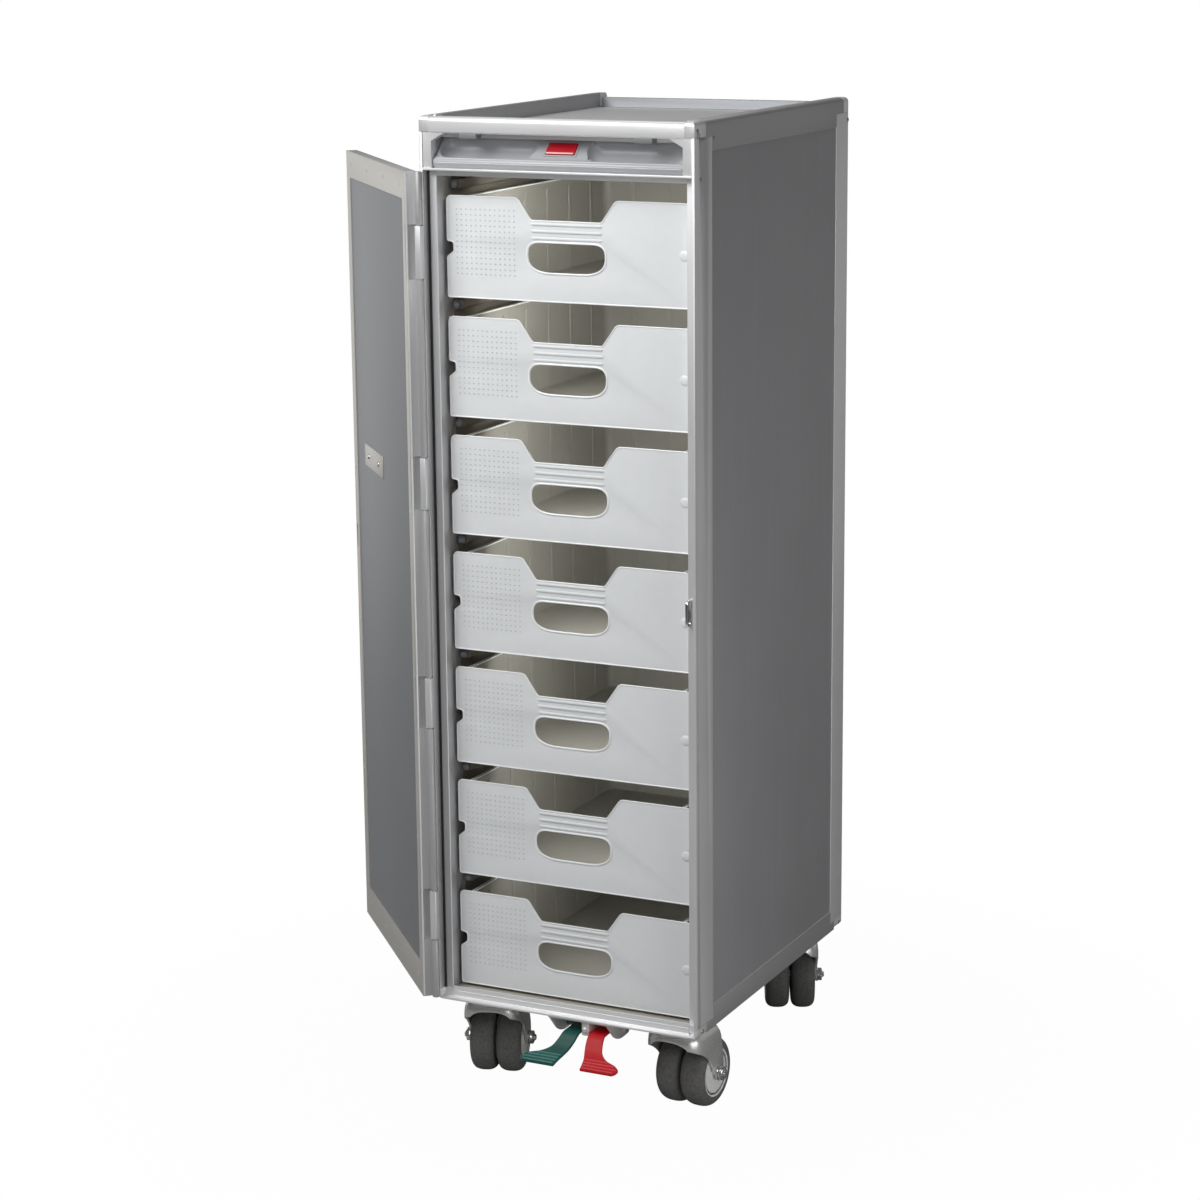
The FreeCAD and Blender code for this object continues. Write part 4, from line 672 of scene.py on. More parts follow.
# %% Run the tree and keep its domes
def run_tree(tree, points, facings, inputs):
    """The plain mesh a tree makes from points that each face some way."""
    mesh = bpy.data.meshes.new("points")
    mesh.from_pydata([Vector(p) for p in points], [], [])
    facing = mesh.attributes.new("facing", "FLOAT_VECTOR", "POINT")
    facing.data.foreach_set("vector", [c for f in facings for c in f])

    def prepare(worker):
        modifier = worker.modifiers.new("tree", "NODES")
        modifier.node_group = tree
        for item in tree.interface.items_tree:
            if item.in_out == "INPUT" and item.name in inputs:
                modifier[item.identifier] = inputs[item.name]

    return plain_mesh(mesh, prepare)


DOME_SMOOTH_BELOW = 60


def domes(name, body, finish, points, facings, size, sides, stands_for=()):
    """One piece of domes, whose size is their radius and height."""
    radius, height = size
    inputs = {"Dome Radius": radius, "Dome Height": height, "Dome Sides": sides, "Finish": FINISH[finish]}
    mesh = run_tree(DOMES, points, facings, inputs)
    return keep(mesh, name, body, finish, stands_for, DOME_SMOOTH_BELOW)


print("domes are smooth below", DOME_SMOOTH_BELOW, "degrees")

# %% [markdown]
# ## Places taken from the CAD
#
# Nothing is placed by eye.  The body's box, the door's hinge line and each caster's axle come
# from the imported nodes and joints.

# %% Measure the frame
CORNERS = ("front_left", "front_right", "rear_left", "rear_right")
DRAWERS = [f"drawer_{n + 1}" for n in range(7)]
SIDES = (-1, 1)
SQUARE = ((-1, -1), (1, -1), (1, 1), (-1, 1))
TO_FRONT = (0, -1, 0)
JOINTS = {joint["name"]: joint for joint in frame["joints"]}
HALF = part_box("front_post_right")[1].x
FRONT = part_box("front_post_left")[0].y
hinge_line = Vector(JOINTS["door_hinge"]["pos_m"])
OPEN_ANGLE = math.radians(-228)
TURN_OPEN = Matrix.Rotation(OPEN_ANGLE, 4, "Z")
SWING = Matrix.Translation(hinge_line) @ TURN_OPEN @ Matrix.Translation(-hinge_line)
UNSWING = SWING.inverted()
STAND_UP = Matrix.Rotation(math.radians(90), 4, "X")
print("half width", round(HALF, 4), "front", round(FRONT, 4))

# %% [markdown]
# ## Two finishes on one piece
#
# The left front post is bright outside and duller on the faces that turn to the opening, and the
# hinge edge of the door frame is greyer than its rim.  Each is still one piece of metal, so the
# duller, greyer second finish is painted shade, given to the faces that pass a test.

# %% Choose the faces that get the second finish
POST_SKIN = 2 * MM
EDGE_WIDTH = 14 * MM
LIP_WIDTH = 9 * MM
LIP_FAR, LIP_NEAR = 11 * MM, 2 * MM
door_low, door_high = (corner.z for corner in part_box("door_frame"))
door_points = [UNSWING @ v.co for v in NODES["door_frame"].data.vertices]
DOOR_EDGE = Vector((-max(p.x for p in door_points), max(p.y for p in door_points), 0))


def second_finish(node, chosen):
    """Gives a piece's second finish to the faces that pass a test."""
    for polygon in EASED_PIECES[node].data.polygons:
        if chosen(polygon.center, polygon.normal):
            polygon.material_index = 1


# Faces of the left post that turn to the opening get painted shade.
def post_inside_in_shade(middle, normal):
    inside = middle.y > FRONT + POST_SKIN and middle.x > -HALF + POST_SKIN
    return inside and (normal.x > 0.5 or normal.y < -0.5)


def door_edge_in_shade(middle, normal):
    """Told on the shut door: the faces of its hinge edge, and the lip behind its inner face."""
    shut, shut_normal = UNSWING @ middle, UNSWING.to_3x3() @ normal
    on_edge = shut.x < DOOR_EDGE.x + EDGE_WIDTH and abs(shut_normal.y) < 0.5
    on_lip = shut.x < DOOR_EDGE.x + LIP_WIDTH and DOOR_EDGE.y - LIP_FAR < shut.y < DOOR_EDGE.y - LIP_NEAR
    return on_edge or on_lip


second_finish("front_post_left", post_inside_in_shade)
second_finish("door_frame", door_edge_in_shade)
print("door edge", round(DOOR_EDGE.x, 4), round(DOOR_EDGE.y, 4))

# %% [markdown]
# ## Rivets, cap screws and runner noses
#
# The CAD holds every rivet and runner tip as a small loose solid.  The middle of each loose solid
# is where a dome goes, so these details follow the CAD wherever it puts them.  The two screws in
# the top corner caps are turned rings with an open socket.

# %% Find loose solids and turn a cap screw
LOOSE_GAP = 1e-5


def islands(node):
    """Middle of every loose solid in a node."""
    bm = bmesh.new()
    bm.from_mesh(NODES[node].data)
    bmesh.ops.remove_doubles(bm, verts=bm.verts, dist=LOOSE_GAP)
    waiting, middles = set(bm.verts), []
    while waiting:
        start = waiting.pop()
        group, edge = [start], [start]
        while edge:
            ahead = [e.other_vert(v) for v in edge for e in v.link_edges]
            edge = [v for v in dict.fromkeys(ahead) if v in waiting]
            waiting.difference_update(edge)
            group += edge
        low = Vector([min(v.co[k] for v in group) for k in range(3)])
        high = Vector([max(v.co[k] for v in group) for k in range(3)])
        middles.append((low + high) / 2)
    bm.free()
    return sorted(middles, key=tuple)


def cap_screw(at, facing):
    """A screw head: a flat ring about its socket."""
    head = turned([(-1.0, 1.9), (-1.0, 3.2), (0.1, 3.2), (0.45, 2.9), (0.45, 1.9)], 24)
    return placed(head, Matrix.Translation(at) @ facing.to_track_quat("X", "Z").to_matrix().to_4x4())


on_frame, on_door, tips = islands("frame_rivets"), islands("door_rivets"), islands("runner_tips")
print("rivets", len(on_frame) + len(on_door), "tips", len(tips))

# %% Rivets and noses where the CAD has them
RIVET = (2.4 * MM, 1.0 * MM)
PLATE_RIVET = (2.8 * MM, 1.6 * MM)
NOSE = (4.3 * MM, 3 * MM)
HEAD_SIDES = 20
RIVET_SUNK = 0.5 * MM
PLATE_RIVET_OUT = 25.2 * MM

heads = [Vector((math.copysign(HALF, p.x), p.y, p.z)) for p in on_frame]
outwards = [Vector((math.copysign(1, p.x), 0, 0)) for p in on_frame]
domes("rivet_heads_frame", "trolley", "rivet", heads, outwards, RIVET,
      HEAD_SIDES, ["frame_rivets"])
cap_low, cap_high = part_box("corner_caps")
screw_y, screw_z = cap_low.y + 9 * MM, cap_high.z - 14 * MM
screws = [cap_screw(Vector((side * cap_high.x, screw_y, screw_z)), Vector((side, 0, 0))) for side in SIDES]
keep(gathered(screws), "cap_screws", "trolley", "rivet")

door_normal = SWING.to_3x3() @ Vector((0, 1, 0))
door_middle = SWING @ Vector((0, FRONT + 3 * MM, 0))
outwards = [door_normal * math.copysign(1, (p - door_middle).dot(door_normal)) for p in on_door]
heads = [p - f * RIVET_SUNK for p, f in zip(on_door, outwards)]
domes("rivet_heads_door", "door", "zinc", heads, outwards, RIVET, HEAD_SIDES,
      ["door_rivets"])
plate_points = [UNSWING @ v.co for v in NODES["latch_backing_plate"].data.vertices]
plate_x = (min(p.x for p in plate_points) + max(p.x for p in plate_points)) / 2
plate_z = (min(p.z for p in plate_points) + max(p.z for p in plate_points)) / 2
heads = [SWING @ Vector((plate_x + side * PLATE_RIVET_OUT, DOOR_EDGE.y, plate_z)) for side in SIDES]
domes("rivet_heads_plate", "door", "chrome", heads, [door_normal] * 2,
      PLATE_RIVET, HEAD_SIDES)
domes("runner_tip_noses", "trolley", "tip", tips, [TO_FRONT] * len(tips), NOSE,
      HEAD_SIDES, ["runner_tips"])
print("heads on the door", len(on_door) + len(heads))

# %% [markdown]
# ## Thin bright lines
#
# The rolled edge of an extrusion catches the light as one thin line, which an eased edge is too
# narrow to show.  So a thin bead lies along the door's hinge edge, along the door's rebate in the
# left post and around each side sheet.

# %% Thin beads along the extrusions
# Each bead is paler than the metal it lies on, so its line is partly real round edge and partly painted highlight.
DOOR_BEAD, JAMB_BEAD, SHEET_BEAD = 1.1 * MM, 0.6 * MM, 0.45 * MM


def highlight_line_piece(name, body, finish, runs, radius, closed=False):
    return keep(gathered([bead(run, radius, closed) for run in runs]), name, body, finish)


edge = Vector((DOOR_EDGE.x + DOOR_BEAD / 2, DOOR_EDGE.y - DOOR_BEAD, 0))
door_run = [SWING @ (edge + Vector((0, 0, z))) for z in (door_low + 1 * MM, door_high - 1 * MM)]
highlight_line_piece("door_edge_highlight_bead", "door", "frame_x", [door_run], DOOR_BEAD)
jamb_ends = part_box("crossbar")[0].z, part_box("front_sill")[1].z
jamb_run = [(-HALF + 13 * MM, FRONT + 10.5 * MM, z) for z in jamb_ends]
highlight_line_piece("jamb_highlight_bead", "trolley", "frame_x", [jamb_run], JAMB_BEAD)
sheet_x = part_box("side_panel_right")[1].x
sheet_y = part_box("front_post_right")[1].y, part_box("rear_posts")[0].y
sheet_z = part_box("bottom_side_rails")[1].z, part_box("top_side_rails")[0].z
sheet_runs = [[(side * sheet_x, sheet_y[along > 0], sheet_z[up > 0]) for along, up in SQUARE]
              for side in SIDES]
highlight_line_piece("panel_edge_highlight_lines", "trolley", "frame", sheet_runs, SHEET_BEAD, True)
print("beads", 2 + len(sheet_runs))

# %% [markdown]
# ## Drawers
#
# A galley drawer is one moulding: a stiff front with a pull notch, a hand hole and three grip
# ribs, and a thin open box behind it.  A small notch in its left edge clears a runner's nose.
# The front is a flat outline with rounded edges, and the box is a bent wall on a floor.  One
# drawer is built and repeated up the stack.

# %% Outlines of the drawer front
def drawer_front_outline(w, height):
    """Pull notch on top and, on the left, the notch that shows the runner's nose."""
    middle = height / 2
    pull = [(w, height), (54.5, height), (39, height - 22)]
    side = [(-w, middle + 6), (-w + 7.5, middle + 5), (-w + 7.5, middle - 5), (-w, middle - 10.5), (-w, 0)]
    points = [(w, 0)] + pull + [(-x, z) for x, z in reversed(pull)] + side
    radii = [2, 6, 7, 5, 5, 7, 6, 2, 3.5, 3.5, 3, 2]
    return [p * MM for p in rounded(points, radii)]


def hand_hole_outline(height):
    """Nearly straight along the top, generously rounded below."""
    top = height - 43
    w, low = 43.5, top - 31
    upper = bend((w, top - 12), (w, top), (w - 14, top)) + bend((-w + 14, top), (-w, top), (-w, top - 12))
    lower = bend((-w, low + 17), (-w, low), (-w + 27, low)) + bend((w - 27, low), (w, low), (w, low + 17))
    return [p * MM for p in upper + lower]


DRAWER_LOW, DRAWER_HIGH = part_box("drawer_1")
DRAWER_HALF = DRAWER_HIGH.x / MM
DRAWER_TALL = (DRAWER_HIGH.z - DRAWER_LOW.z) / MM
FRONT_OUTLINE = drawer_front_outline(DRAWER_HALF, DRAWER_TALL)
HOLE_OUTLINE = hand_hole_outline(DRAWER_TALL)
print("drawer front", round(2 * DRAWER_HALF, 1), "by", round(DRAWER_TALL, 1), "mm")

# %% Front with grip ribs
FRONT_FACE = DRAWER_LOW.y + 1.2 * MM
FRONT_THICK = 2.4 * MM
RIB_HALF, RIB_REACH, RIB_PITCH, TOP_RIB_DOWN = 39.5, 1.15, 7, 25.4


def grip_rib(z):
    """A thin bar across the front that fades out at both ends."""
    section = [(0, 1.5), (-RIB_REACH * 0.75, 1.1), (-RIB_REACH, 0), (-RIB_REACH * 0.75, -1.1), (0, -1.5)]
    tip = [(-RIB_HALF, 0.15), (-RIB_HALF + 0.8, 0.7), (-RIB_HALF + 2.2, 1.0)]
    stations = tip + [(-x, size) for x, size in reversed(tip)]
    return lofted([[(x * MM, FRONT_FACE + dy * size * MM, (z + dz * size) * MM) for dy, dz in section]
                   for x, size in stations])


def drawer_front():
    sheet = plate([FRONT_OUTLINE, HOLE_OUTLINE], FRONT_THICK, 0.6 * MM)
    parts = [placed(sheet, Matrix.Translation((0, FRONT_FACE + FRONT_THICK / 2, DRAWER_LOW.z)) @ STAND_UP)]
    for n in range(3):
        rib = grip_rib(DRAWER_TALL - TOP_RIB_DOWN - RIB_PITCH * n)
        parts.append(placed(rib, Matrix.Translation((0, 0, DRAWER_LOW.z))))
    return gathered(parts)


front_mesh = drawer_front()
print("front faces", len(front_mesh.polygons))

# %% Wall of the drawer box
BOX_HALF = DRAWER_HALF - 11
BOX_CORNER = 10
BOX_START, BOX_END = FRONT_FACE + FRONT_THICK, DRAWER_HIGH.y
BOX_FLOOR = DRAWER_LOW.z + 1 * MM
WALL_TOP = DRAWER_LOW.z + (DRAWER_TALL - 1.5) * MM
SHEET_THICK, WALL_DRAFT = 2 * MM, 0.8 * MM


def bent_wall(path, low, high, thickness, draft):
    """A thin wall along an open path in plan, leaning outwards towards its top."""
    rows = []
    for n, (x, y) in enumerate(path):
        before, after = Vector(path[max(0, n - 1)]), Vector(path[min(len(path) - 1, n + 1)])
        along = (after - before).normalized()
        inward = Vector((-along.y, along.x))
        top = Vector((x, y))
        foot = top + inward * draft
        rows.append([(*foot, low), (*top, high), (*(top + inward * thickness), high),
                     (*(foot + inward * thickness), low)])
    return lofted(rows)


def box_path():
    """Plan of the wall: back along one side, round both rear corners and forward again."""
    turns = [math.radians(90 - 15 * n) for n in range(7)]
    middle_x, middle_y = BOX_HALF - BOX_CORNER, BOX_END / MM - BOX_CORNER
    corner = [(middle_x + BOX_CORNER * math.sin(a), middle_y + BOX_CORNER * math.cos(a)) for a in turns]
    half = [(BOX_HALF, BOX_START / MM)] + corner
    return [(x * MM, y * MM) for x, y in half] + [(-x * MM, y * MM) for x, y in reversed(half)]


wall_mesh = bent_wall(box_path(), BOX_FLOOR, WALL_TOP, SHEET_THICK, WALL_DRAFT)
print("wall faces", len(wall_mesh.polygons))

# %% Floor, flanges and pale rims
FLANGE_LOW = DRAWER_LOW.z + (DRAWER_TALL / 2 + 5.3) * MM
RIM_TALL, EASE = 1.5 * MM, 0.5 * MM


def drawer_box():
    """Wall, floor and the two flanges that hang on the runners."""
    w = (BOX_HALF - 1) * MM
    floor_to = (w, BOX_END - 1 * MM, BOX_FLOOR + SHEET_THICK)
    parts = [wall_mesh, eased_block((-w, BOX_START, BOX_FLOOR), floor_to, EASE)]
    for side in SIDES:
        x0, x1 = sorted((side * (BOX_HALF - 2) * MM, side * DRAWER_HALF * MM))
        flange_from = (x0, BOX_START + 12 * MM, FLANGE_LOW)
        parts.append(eased_block(flange_from, (x1, BOX_END, FLANGE_LOW + SHEET_THICK), EASE))
    return gathered(parts)


# The rims and beads are the drawer's own plastic; their paler finish is painted highlight on the edges.
def drawer_highlight_rims():
    """Pale rims along the top of the wall and beads round both outlines of the front."""
    low = WALL_TOP - RIM_TALL
    rims = []
    for side in SIDES:
        x0, x1 = sorted((side * (BOX_HALF - 2.5) * MM, side * (BOX_HALF + 1.5) * MM))
        rims.append(eased_block((x0, BOX_START, low), (x1, BOX_END - 8 * MM, WALL_TOP), EASE))
    w = (BOX_HALF - 8) * MM
    rims.append(eased_block((-w, BOX_END - 2.5 * MM, low), (w, BOX_END, WALL_TOP), EASE))
    for outline, radius in ((FRONT_OUTLINE, 0.75 * MM), (HOLE_OUTLINE, 1.1 * MM)):
        rims.append(bead([(x, FRONT_FACE, DRAWER_LOW.z + z) for x, z in outline], radius))
    return gathered(rims)


box_mesh, highlight_rim_mesh = drawer_box(), drawer_highlight_rims()
print("box and rim faces", len(box_mesh.polygons) + len(highlight_rim_mesh.polygons))

# %% Seven drawers
drawer_parts = (
    ("front", front_mesh, "drawer"),
    ("box", box_mesh, "drawer_box"),
    ("bead", highlight_rim_mesh, "drawer_edge"),
)
for node in DRAWERS:
    up = Matrix.Translation((0, 0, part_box(node)[0].z - DRAWER_LOW.z))
    for kind, mesh, finish in drawer_parts:
        stands_for = [node] if kind == "front" else ()
        keep(placed(mesh.copy(), up), f"{kind}_{node}", node, finish, stands_for)
print("drawers", len(DRAWERS))

# %% [markdown]
# ## Dots and ribs on the drawers
#
# The left part of each front carries a field of small raised dots and its right edge one larger
# boss.  The dome tree makes both: the dots are only a grid of points to it.  Inside, thin upright
# ribs stiffen the walls, and they show as faint lines through the pull notch.

# %% Dots and boss in front, ribs inside
DOT, DOT_SIDES, DOT_PITCH, DOT_ROWS = (1.0 * MM, 0.6 * MM), 6, 5.4 * MM, 13
BOSS, BOSS_SIDES = (5.5 * MM, 1.2 * MM), 24
RIB_THICK, RIB_WIDE = 1.2 * MM, 6 * MM


def dots_and_boss(node):
    low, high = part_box(node)
    left, top = low.x + 11 * MM, high.z - 13 * MM
    spots = [(left + DOT_PITCH * i, low.y + 1.25 * MM, top - DOT_PITCH * j)
             for i in range(DOT_ROWS) for j in range(DOT_ROWS)]
    # The dots' darker finish is painted shade on the drawer's own plastic.
    domes(f"dots_{node}", node, "drawer_dot", spots, [TO_FRONT] * len(spots), DOT, DOT_SIDES)
    boss_at = (high.x - 6 * MM, low.y + 1.3 * MM, (low.z + high.z) / 2)
    domes(f"boss_{node}", node, "drawer", [boss_at], [TO_FRONT], BOSS, BOSS_SIDES)


def inner_ribs(node):
    low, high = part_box(node)
    foot, top = low.z + 3 * MM, high.z - 10 * MM
    wall, rear = high.x - 13 * MM, high.y - 2 * MM
    ribs = []
    for y in [low.y + (40 + 52 * n) * MM for n in range(6)]:
        for side in SIDES:
            x0, x1 = sorted((side * wall, side * (wall - RIB_THICK)))
            ribs.append(block((x0, y, foot), (x1, y + RIB_WIDE, top)))
    for x in [44 * MM * (n - 2) for n in range(5)]:
        ribs.append(block((x - RIB_WIDE / 2, rear - RIB_THICK, foot), (x + RIB_WIDE / 2, rear, top)))
    keep(eased_mesh(gathered(ribs), 0.4 * MM), f"ribs_{node}", node, "drawer_box")


for node in DRAWERS:
    dots_and_boss(node)
    inner_ribs(node)
print("dots on each drawer", DOT_ROWS * DOT_ROWS)

# %% [markdown]
# ## Twin wheels
#
# Each wheel is a barrel-shaped tyre on a pale hub.  Both are profiles turned about the axle; the
# tyre's profile is a squashed circle, which is rounder than a chamfer and flatter than a ring.

# %% Tyres and hubs
WHEEL_RADIUS = 37.5
HUB_PROFILE = [
    (3.0, 4.2), (3.0, 25.0), (25.2, 25.0), (25.6, 27.8), (27.2, 27.6), (27.7, 26.8), (27.7, 24.8),
    (27.2, 24.2), (24.6, 24.0), (24.6, 22.4), (26.8, 22.0), (27.0, 21.4), (26.4, 9.4), (27.4, 8.6),
    (27.4, 4.2),
]


def tyre_profile():
    """Over the tread from flank to flank, then back under it along the hub."""
    inner_radius, width = 26.2, 27.0
    middle, steps, power = 1 + width / 2, 20, 2 / 2.7
    points = []
    for n in range(steps + 1):
        a = math.pi * n / steps
        c, s = math.cos(a), math.sin(a)
        along = middle - width / 2 * math.copysign(abs(c) ** power, c)
        points.append((along, inner_radius + (WHEEL_RADIUS - inner_radius) * abs(s) ** power))
    return points + [(25.0, 24.0), (4.0, 24.0)]


tyre_mesh, hub_mesh = turned(tyre_profile(), 64), turned(HUB_PROFILE, 56)
# The groove round each hub is a thin dark ring laid on the hub, not cut into it: painted shade.
groove_shade_mesh = bead([(26.2 * MM, y * MM, z * MM) for y, z in ring(23.2, 40)], 0.7 * MM)
for corner in CORNERS:
    for side, letter in zip(SIDES, "ab"):
        spin = JOINTS[f"spin_{corner}_{letter}"]
        axle = Vector(spin["axis"]) * side
        put = Matrix.Translation(Vector(spin["pos_m"])) @ axle.to_track_quat("X", "Z").to_matrix().to_4x4()
        wheel, name = f"wheel_{corner}_{letter}", f"{corner}_{letter}"
        keep(placed(tyre_mesh.copy(), put), "tyre_" + name, wheel, "tyre", [wheel])
        keep(placed(hub_mesh.copy(), put), "hub_" + name, wheel, "hub")
        keep(placed(groove_shade_mesh.copy(), put), "groove_" + name, wheel, "groove")
print("wheel faces", len(tyre_mesh.polygons) + len(hub_mesh.polygons))

# %% [markdown]
# ## Pressed forks
#
# A caster fork is pressed from one sheet: a round hood over both wheels whose sides sweep down
# to the axle.  It is made as a press would: a domed blank, hollowed, then trimmed to the curved
# side view and arched in front.

# %% The hood
WHEEL_SPAN = 31.0
HOOD_FRONT, HOOD_BACK = 22.0, 52.0
HOOD_SHEET = 2.2
HOOD_LEVELS = [(18.0, 0.0), (78.0, 0.0), (84.0, 0.6), (89.0, 2.4), (91.8, 5.0), (93.0, 10.0)]
CLEAR_OF_HOOD = 60


def hood_blank(shrink):
    """The domed blank; shrunk by the sheet's thickness it is the hollow."""
    w, front, back = WHEEL_SPAN - shrink, HOOD_FRONT - shrink, HOOD_BACK + shrink
    plan = [(-w, back)]
    for n in range(13):
        a = math.radians(180 - 15 * n)
        plan.append((w * math.cos(a), -front * math.sin(a) ** 0.8 if 0 < n < 12 else 0.0))
    plan.append((w, back))
    sections = []
    for z, inset in HOOD_LEVELS:
        k = (w - inset) / w
        sections.append([(x * k * MM, (y * k if y < back else y) * MM, (z - shrink) * MM) for x, y in plan])
    return lofted(sections)


def trim_shape():
    """Side view of the fork: deep skirt, concave sweep, narrow leg with a round eye."""
    stations = [(-60, 82), (-30, 81), (-17, 77), (-8, 72.5), (2, 67.5), (10, 62), (17, 55.5), (24, 45.5),
                (29.2, 36), (34, 30.2), (39, 29.8), (43, 33), (45.5, 39), (46, 48), (44, 62), (40.5, 79),
                (35.5, 93), (35, 110)]
    return drawn(smooth_run(stations, 4) + [(-60, 110)], (-CLEAR_OF_HOOD, CLEAR_OF_HOOD))


def arch_shape():
    """Cutter that arches the front of the skirt over both wheels: a squarish circle, pulled along Y."""
    half_width, half_height, middle = 28.7, 40, 45
    outline = [(half_width * x * MM, (middle + half_height * z) * MM) for x, z in ring(1, 40, 0.72)]
    return lofted([[(x, y * MM, z) for x, z in outline] for y in (-CLEAR_OF_HOOD, CLEAR_OF_HOOD)])


def hood():
    shell = cut(hood_blank(0), [hood_blank(HOOD_SHEET)])
    shell = cut(shell, [trim_shape()], "INTERSECT")
    shell = cut(shell, [arch_shape()])
    return eased_mesh(shell, 0.8 * MM, 2, 35)


hood_mesh = hood()
print("hood faces", len(hood_mesh.polygons))

# %% [markdown]
# ## Bearing flange, axle and nuts
#
# The swivel bearing is a turned flange between the hood and its mounting plate.  One axle runs
# through both wheels, and each end carries a washer, a hexagon nut and the stub of its thread.

# %% Flange, axle and nuts
AXLE_AT = Matrix.Translation((0, 36 * MM, WHEEL_RADIUS * MM))
NUT_ACROSS, NUT_THICK = 13, 5.8
FLANGE_PROFILE = [
    (89.5, 6.1), (89.5, 20), (92.6, 25.0), (93.2, 26.6), (94.2, 27.0), (95.0, 26.4), (95.4, 24.0),
    (95.8, 20.6), (98.4, 20.0), (98.4, 6.1),
]


def axle_end(side):
    """Nut, washer and thread stub on one end of the axle."""
    x = side * (WHEEL_SPAN + 0.2)
    hexagon = ring(NUT_ACROSS / 2 / math.cos(math.radians(30)), 6)
    nut = eased_mesh(drawn(hexagon, (x, x + side * NUT_THICK)), 0.8 * MM)
    washer_out, thread_out, stub_out = x + side * 0.8, x + side * 7.2, x + side * 8.2
    washer = turned([(x - 0.2, 4), (x - 0.2, 8.2), (washer_out, 8.2), (washer_out, 4)], 28)
    stub = turned([(x, 0.3), (x, 3.4), (thread_out, 3.4), (stub_out, 2.6), (stub_out, 0.3)], 20)
    return [nut, washer, stub]


flange_mesh = placed(turned(FLANGE_PROFILE, 48), Matrix.Rotation(math.radians(-90), 4, "Y"))
axle_mesh = turned([(-30.9, 0.3), (-30.9, 3.9), (30.9, 3.9), (30.9, 0.3)], 20)
axle_set = placed(gathered(axle_end(-1) + axle_end(1) + [axle_mesh]), AXLE_AT)
fork_parts = (("hood", hood_mesh, "zinc"), ("bearing", flange_mesh, "chrome"), ("axle", axle_set, "chrome"))
for corner in CORNERS:
    seat = Vector(JOINTS[f"swivel_{corner}"]["pos_m"])
    axle = Vector(JOINTS[f"spin_{corner}_a"]["axis"])
    put = Matrix.Translation((seat.x, seat.y, 0)) @ Matrix.Rotation(math.atan2(axle.y, axle.x), 4, "Z")
    node, body = f"caster_fork_{corner}", f"caster_{corner}"
    for name, mesh, finish in fork_parts:
        stands_for = [node] if name == "hood" else ()
        keep(placed(mesh.copy(), put), f"{name}_{corner}", body, finish, stands_for)
print("bearing faces", len(flange_mesh.polygons), "axle faces", len(axle_set.polygons))

# %% [markdown]
# ## Brake pedals
#
# Each pedal is a strip of steel that dips to the toe and flares out to one side.  Sections run
# along a smooth curve, so the waist is as round as a real pressing.

# %% Swept blades with raised ribs
PEDAL_CENTRE = 21.5 * MM
PEDAL_THICK = 3.0
PEDAL_CHAMFER = 0.8
PEDAL_STATIONS = [
    # back from the front plane, height, inner edge, outer edge
    (-40.0, 66.0, 15.0, 52.0),
    (-37.0, 66.9, 14.6, 55.0),
    (-33.0, 68.2, 14.0, 55.5),
    (-28.0, 69.8, 13.0, 50.0),
    (-23.0, 71.6, 11.6, 38.5),
    (-16.0, 75.2, 9.0, 30.0),
    (-8.0, 81.0, 6.6, 26.0),
    (0.0, 86.6, 5.4, 24.0),
    (8.0, 88.0, 5.0, 23.0),
    (46.0, 88.0, 5.0, 23.0),
]


PEDAL_RUN = smooth_run(PEDAL_STATIONS, 5)


def blade(side):
    """The strip: one section with chamfered edges at each step of the run."""
    sections = []
    for y, z, inner, outer in PEDAL_RUN:
        flat, edge = PEDAL_THICK / 2, PEDAL_THICK / 2 - PEDAL_CHAMFER
        profile = [(inner, edge), (inner + PEDAL_CHAMFER, flat), (outer - PEDAL_CHAMFER, flat), (outer, edge)]
        points = [(x, z + h) for x, h in profile] + [(x, z - h) for x, h in reversed(profile)]
        sections.append([(PEDAL_CENTRE + side * x * MM, FRONT + y * MM, h * MM) for x, h in points])
    return lofted(sections)


def blade_ribs(side):
    """Four raised bars across the toe."""
    ribs = []
    for n in range(4):
        y = -38.6 + 4.4 * n
        z, inner, outer = next(station[1:] for station in PEDAL_RUN if station[0] >= y)
        top = z + PEDAL_THICK / 2
        low, high = top - 0.5, top + 0.45
        section = [(y - 0.75, low), (y - 0.45, high), (y + 0.45, high), (y + 0.75, low)]
        ends = sorted((side * (inner + 1.6), side * (outer - 2.2)))
        ribs.append(drawn(section, ends, (PEDAL_CENTRE, FRONT, 0)))
    return gathered(ribs)


for side, colour in ((-1, "green"), (1, "red")):
    node = f"pedal_{colour}"
    pivot = Vector(JOINTS[f"{node}_hinge"]["pos_m"])
    x0, x1 = sorted((PEDAL_CENTRE + side * 0.6 * MM, pivot.x + side * 31.4 * MM))
    sleeve = turned([(x0 / MM, 4.05), (x0 / MM, 6.5), (x1 / MM, 6.5), (x1 / MM, 4.05)], 32)
    sleeve = placed(sleeve, Matrix.Translation((0, pivot.y, pivot.z)))
    keep(gathered([blade(side), sleeve]), f"blade_{colour}", node, node, [node])
    # The ribs are the pedal's own paint; their paler colour is painted highlight.
    keep(blade_ribs(side), f"tread_{colour}", node, node + "_rib")
print("pedal run", len(PEDAL_RUN), "sections")

# %% [markdown]
# ## Brake bracket
#
# The pedals hang in a channel pressed from sheet: a top plate and two cheeks whose lower corners
# are round lobes about the shaft.  A clevis block with a cross bolt sits between the arms.

# %% Cheeks, top plate and clevis
bracket_low, bracket_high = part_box("brake_bracket")
shaft_at = Vector(JOINTS["pedal_red_hinge"]["pos_m"])
SHEET = 2 * MM
SHAFT_HOLE = 4.1


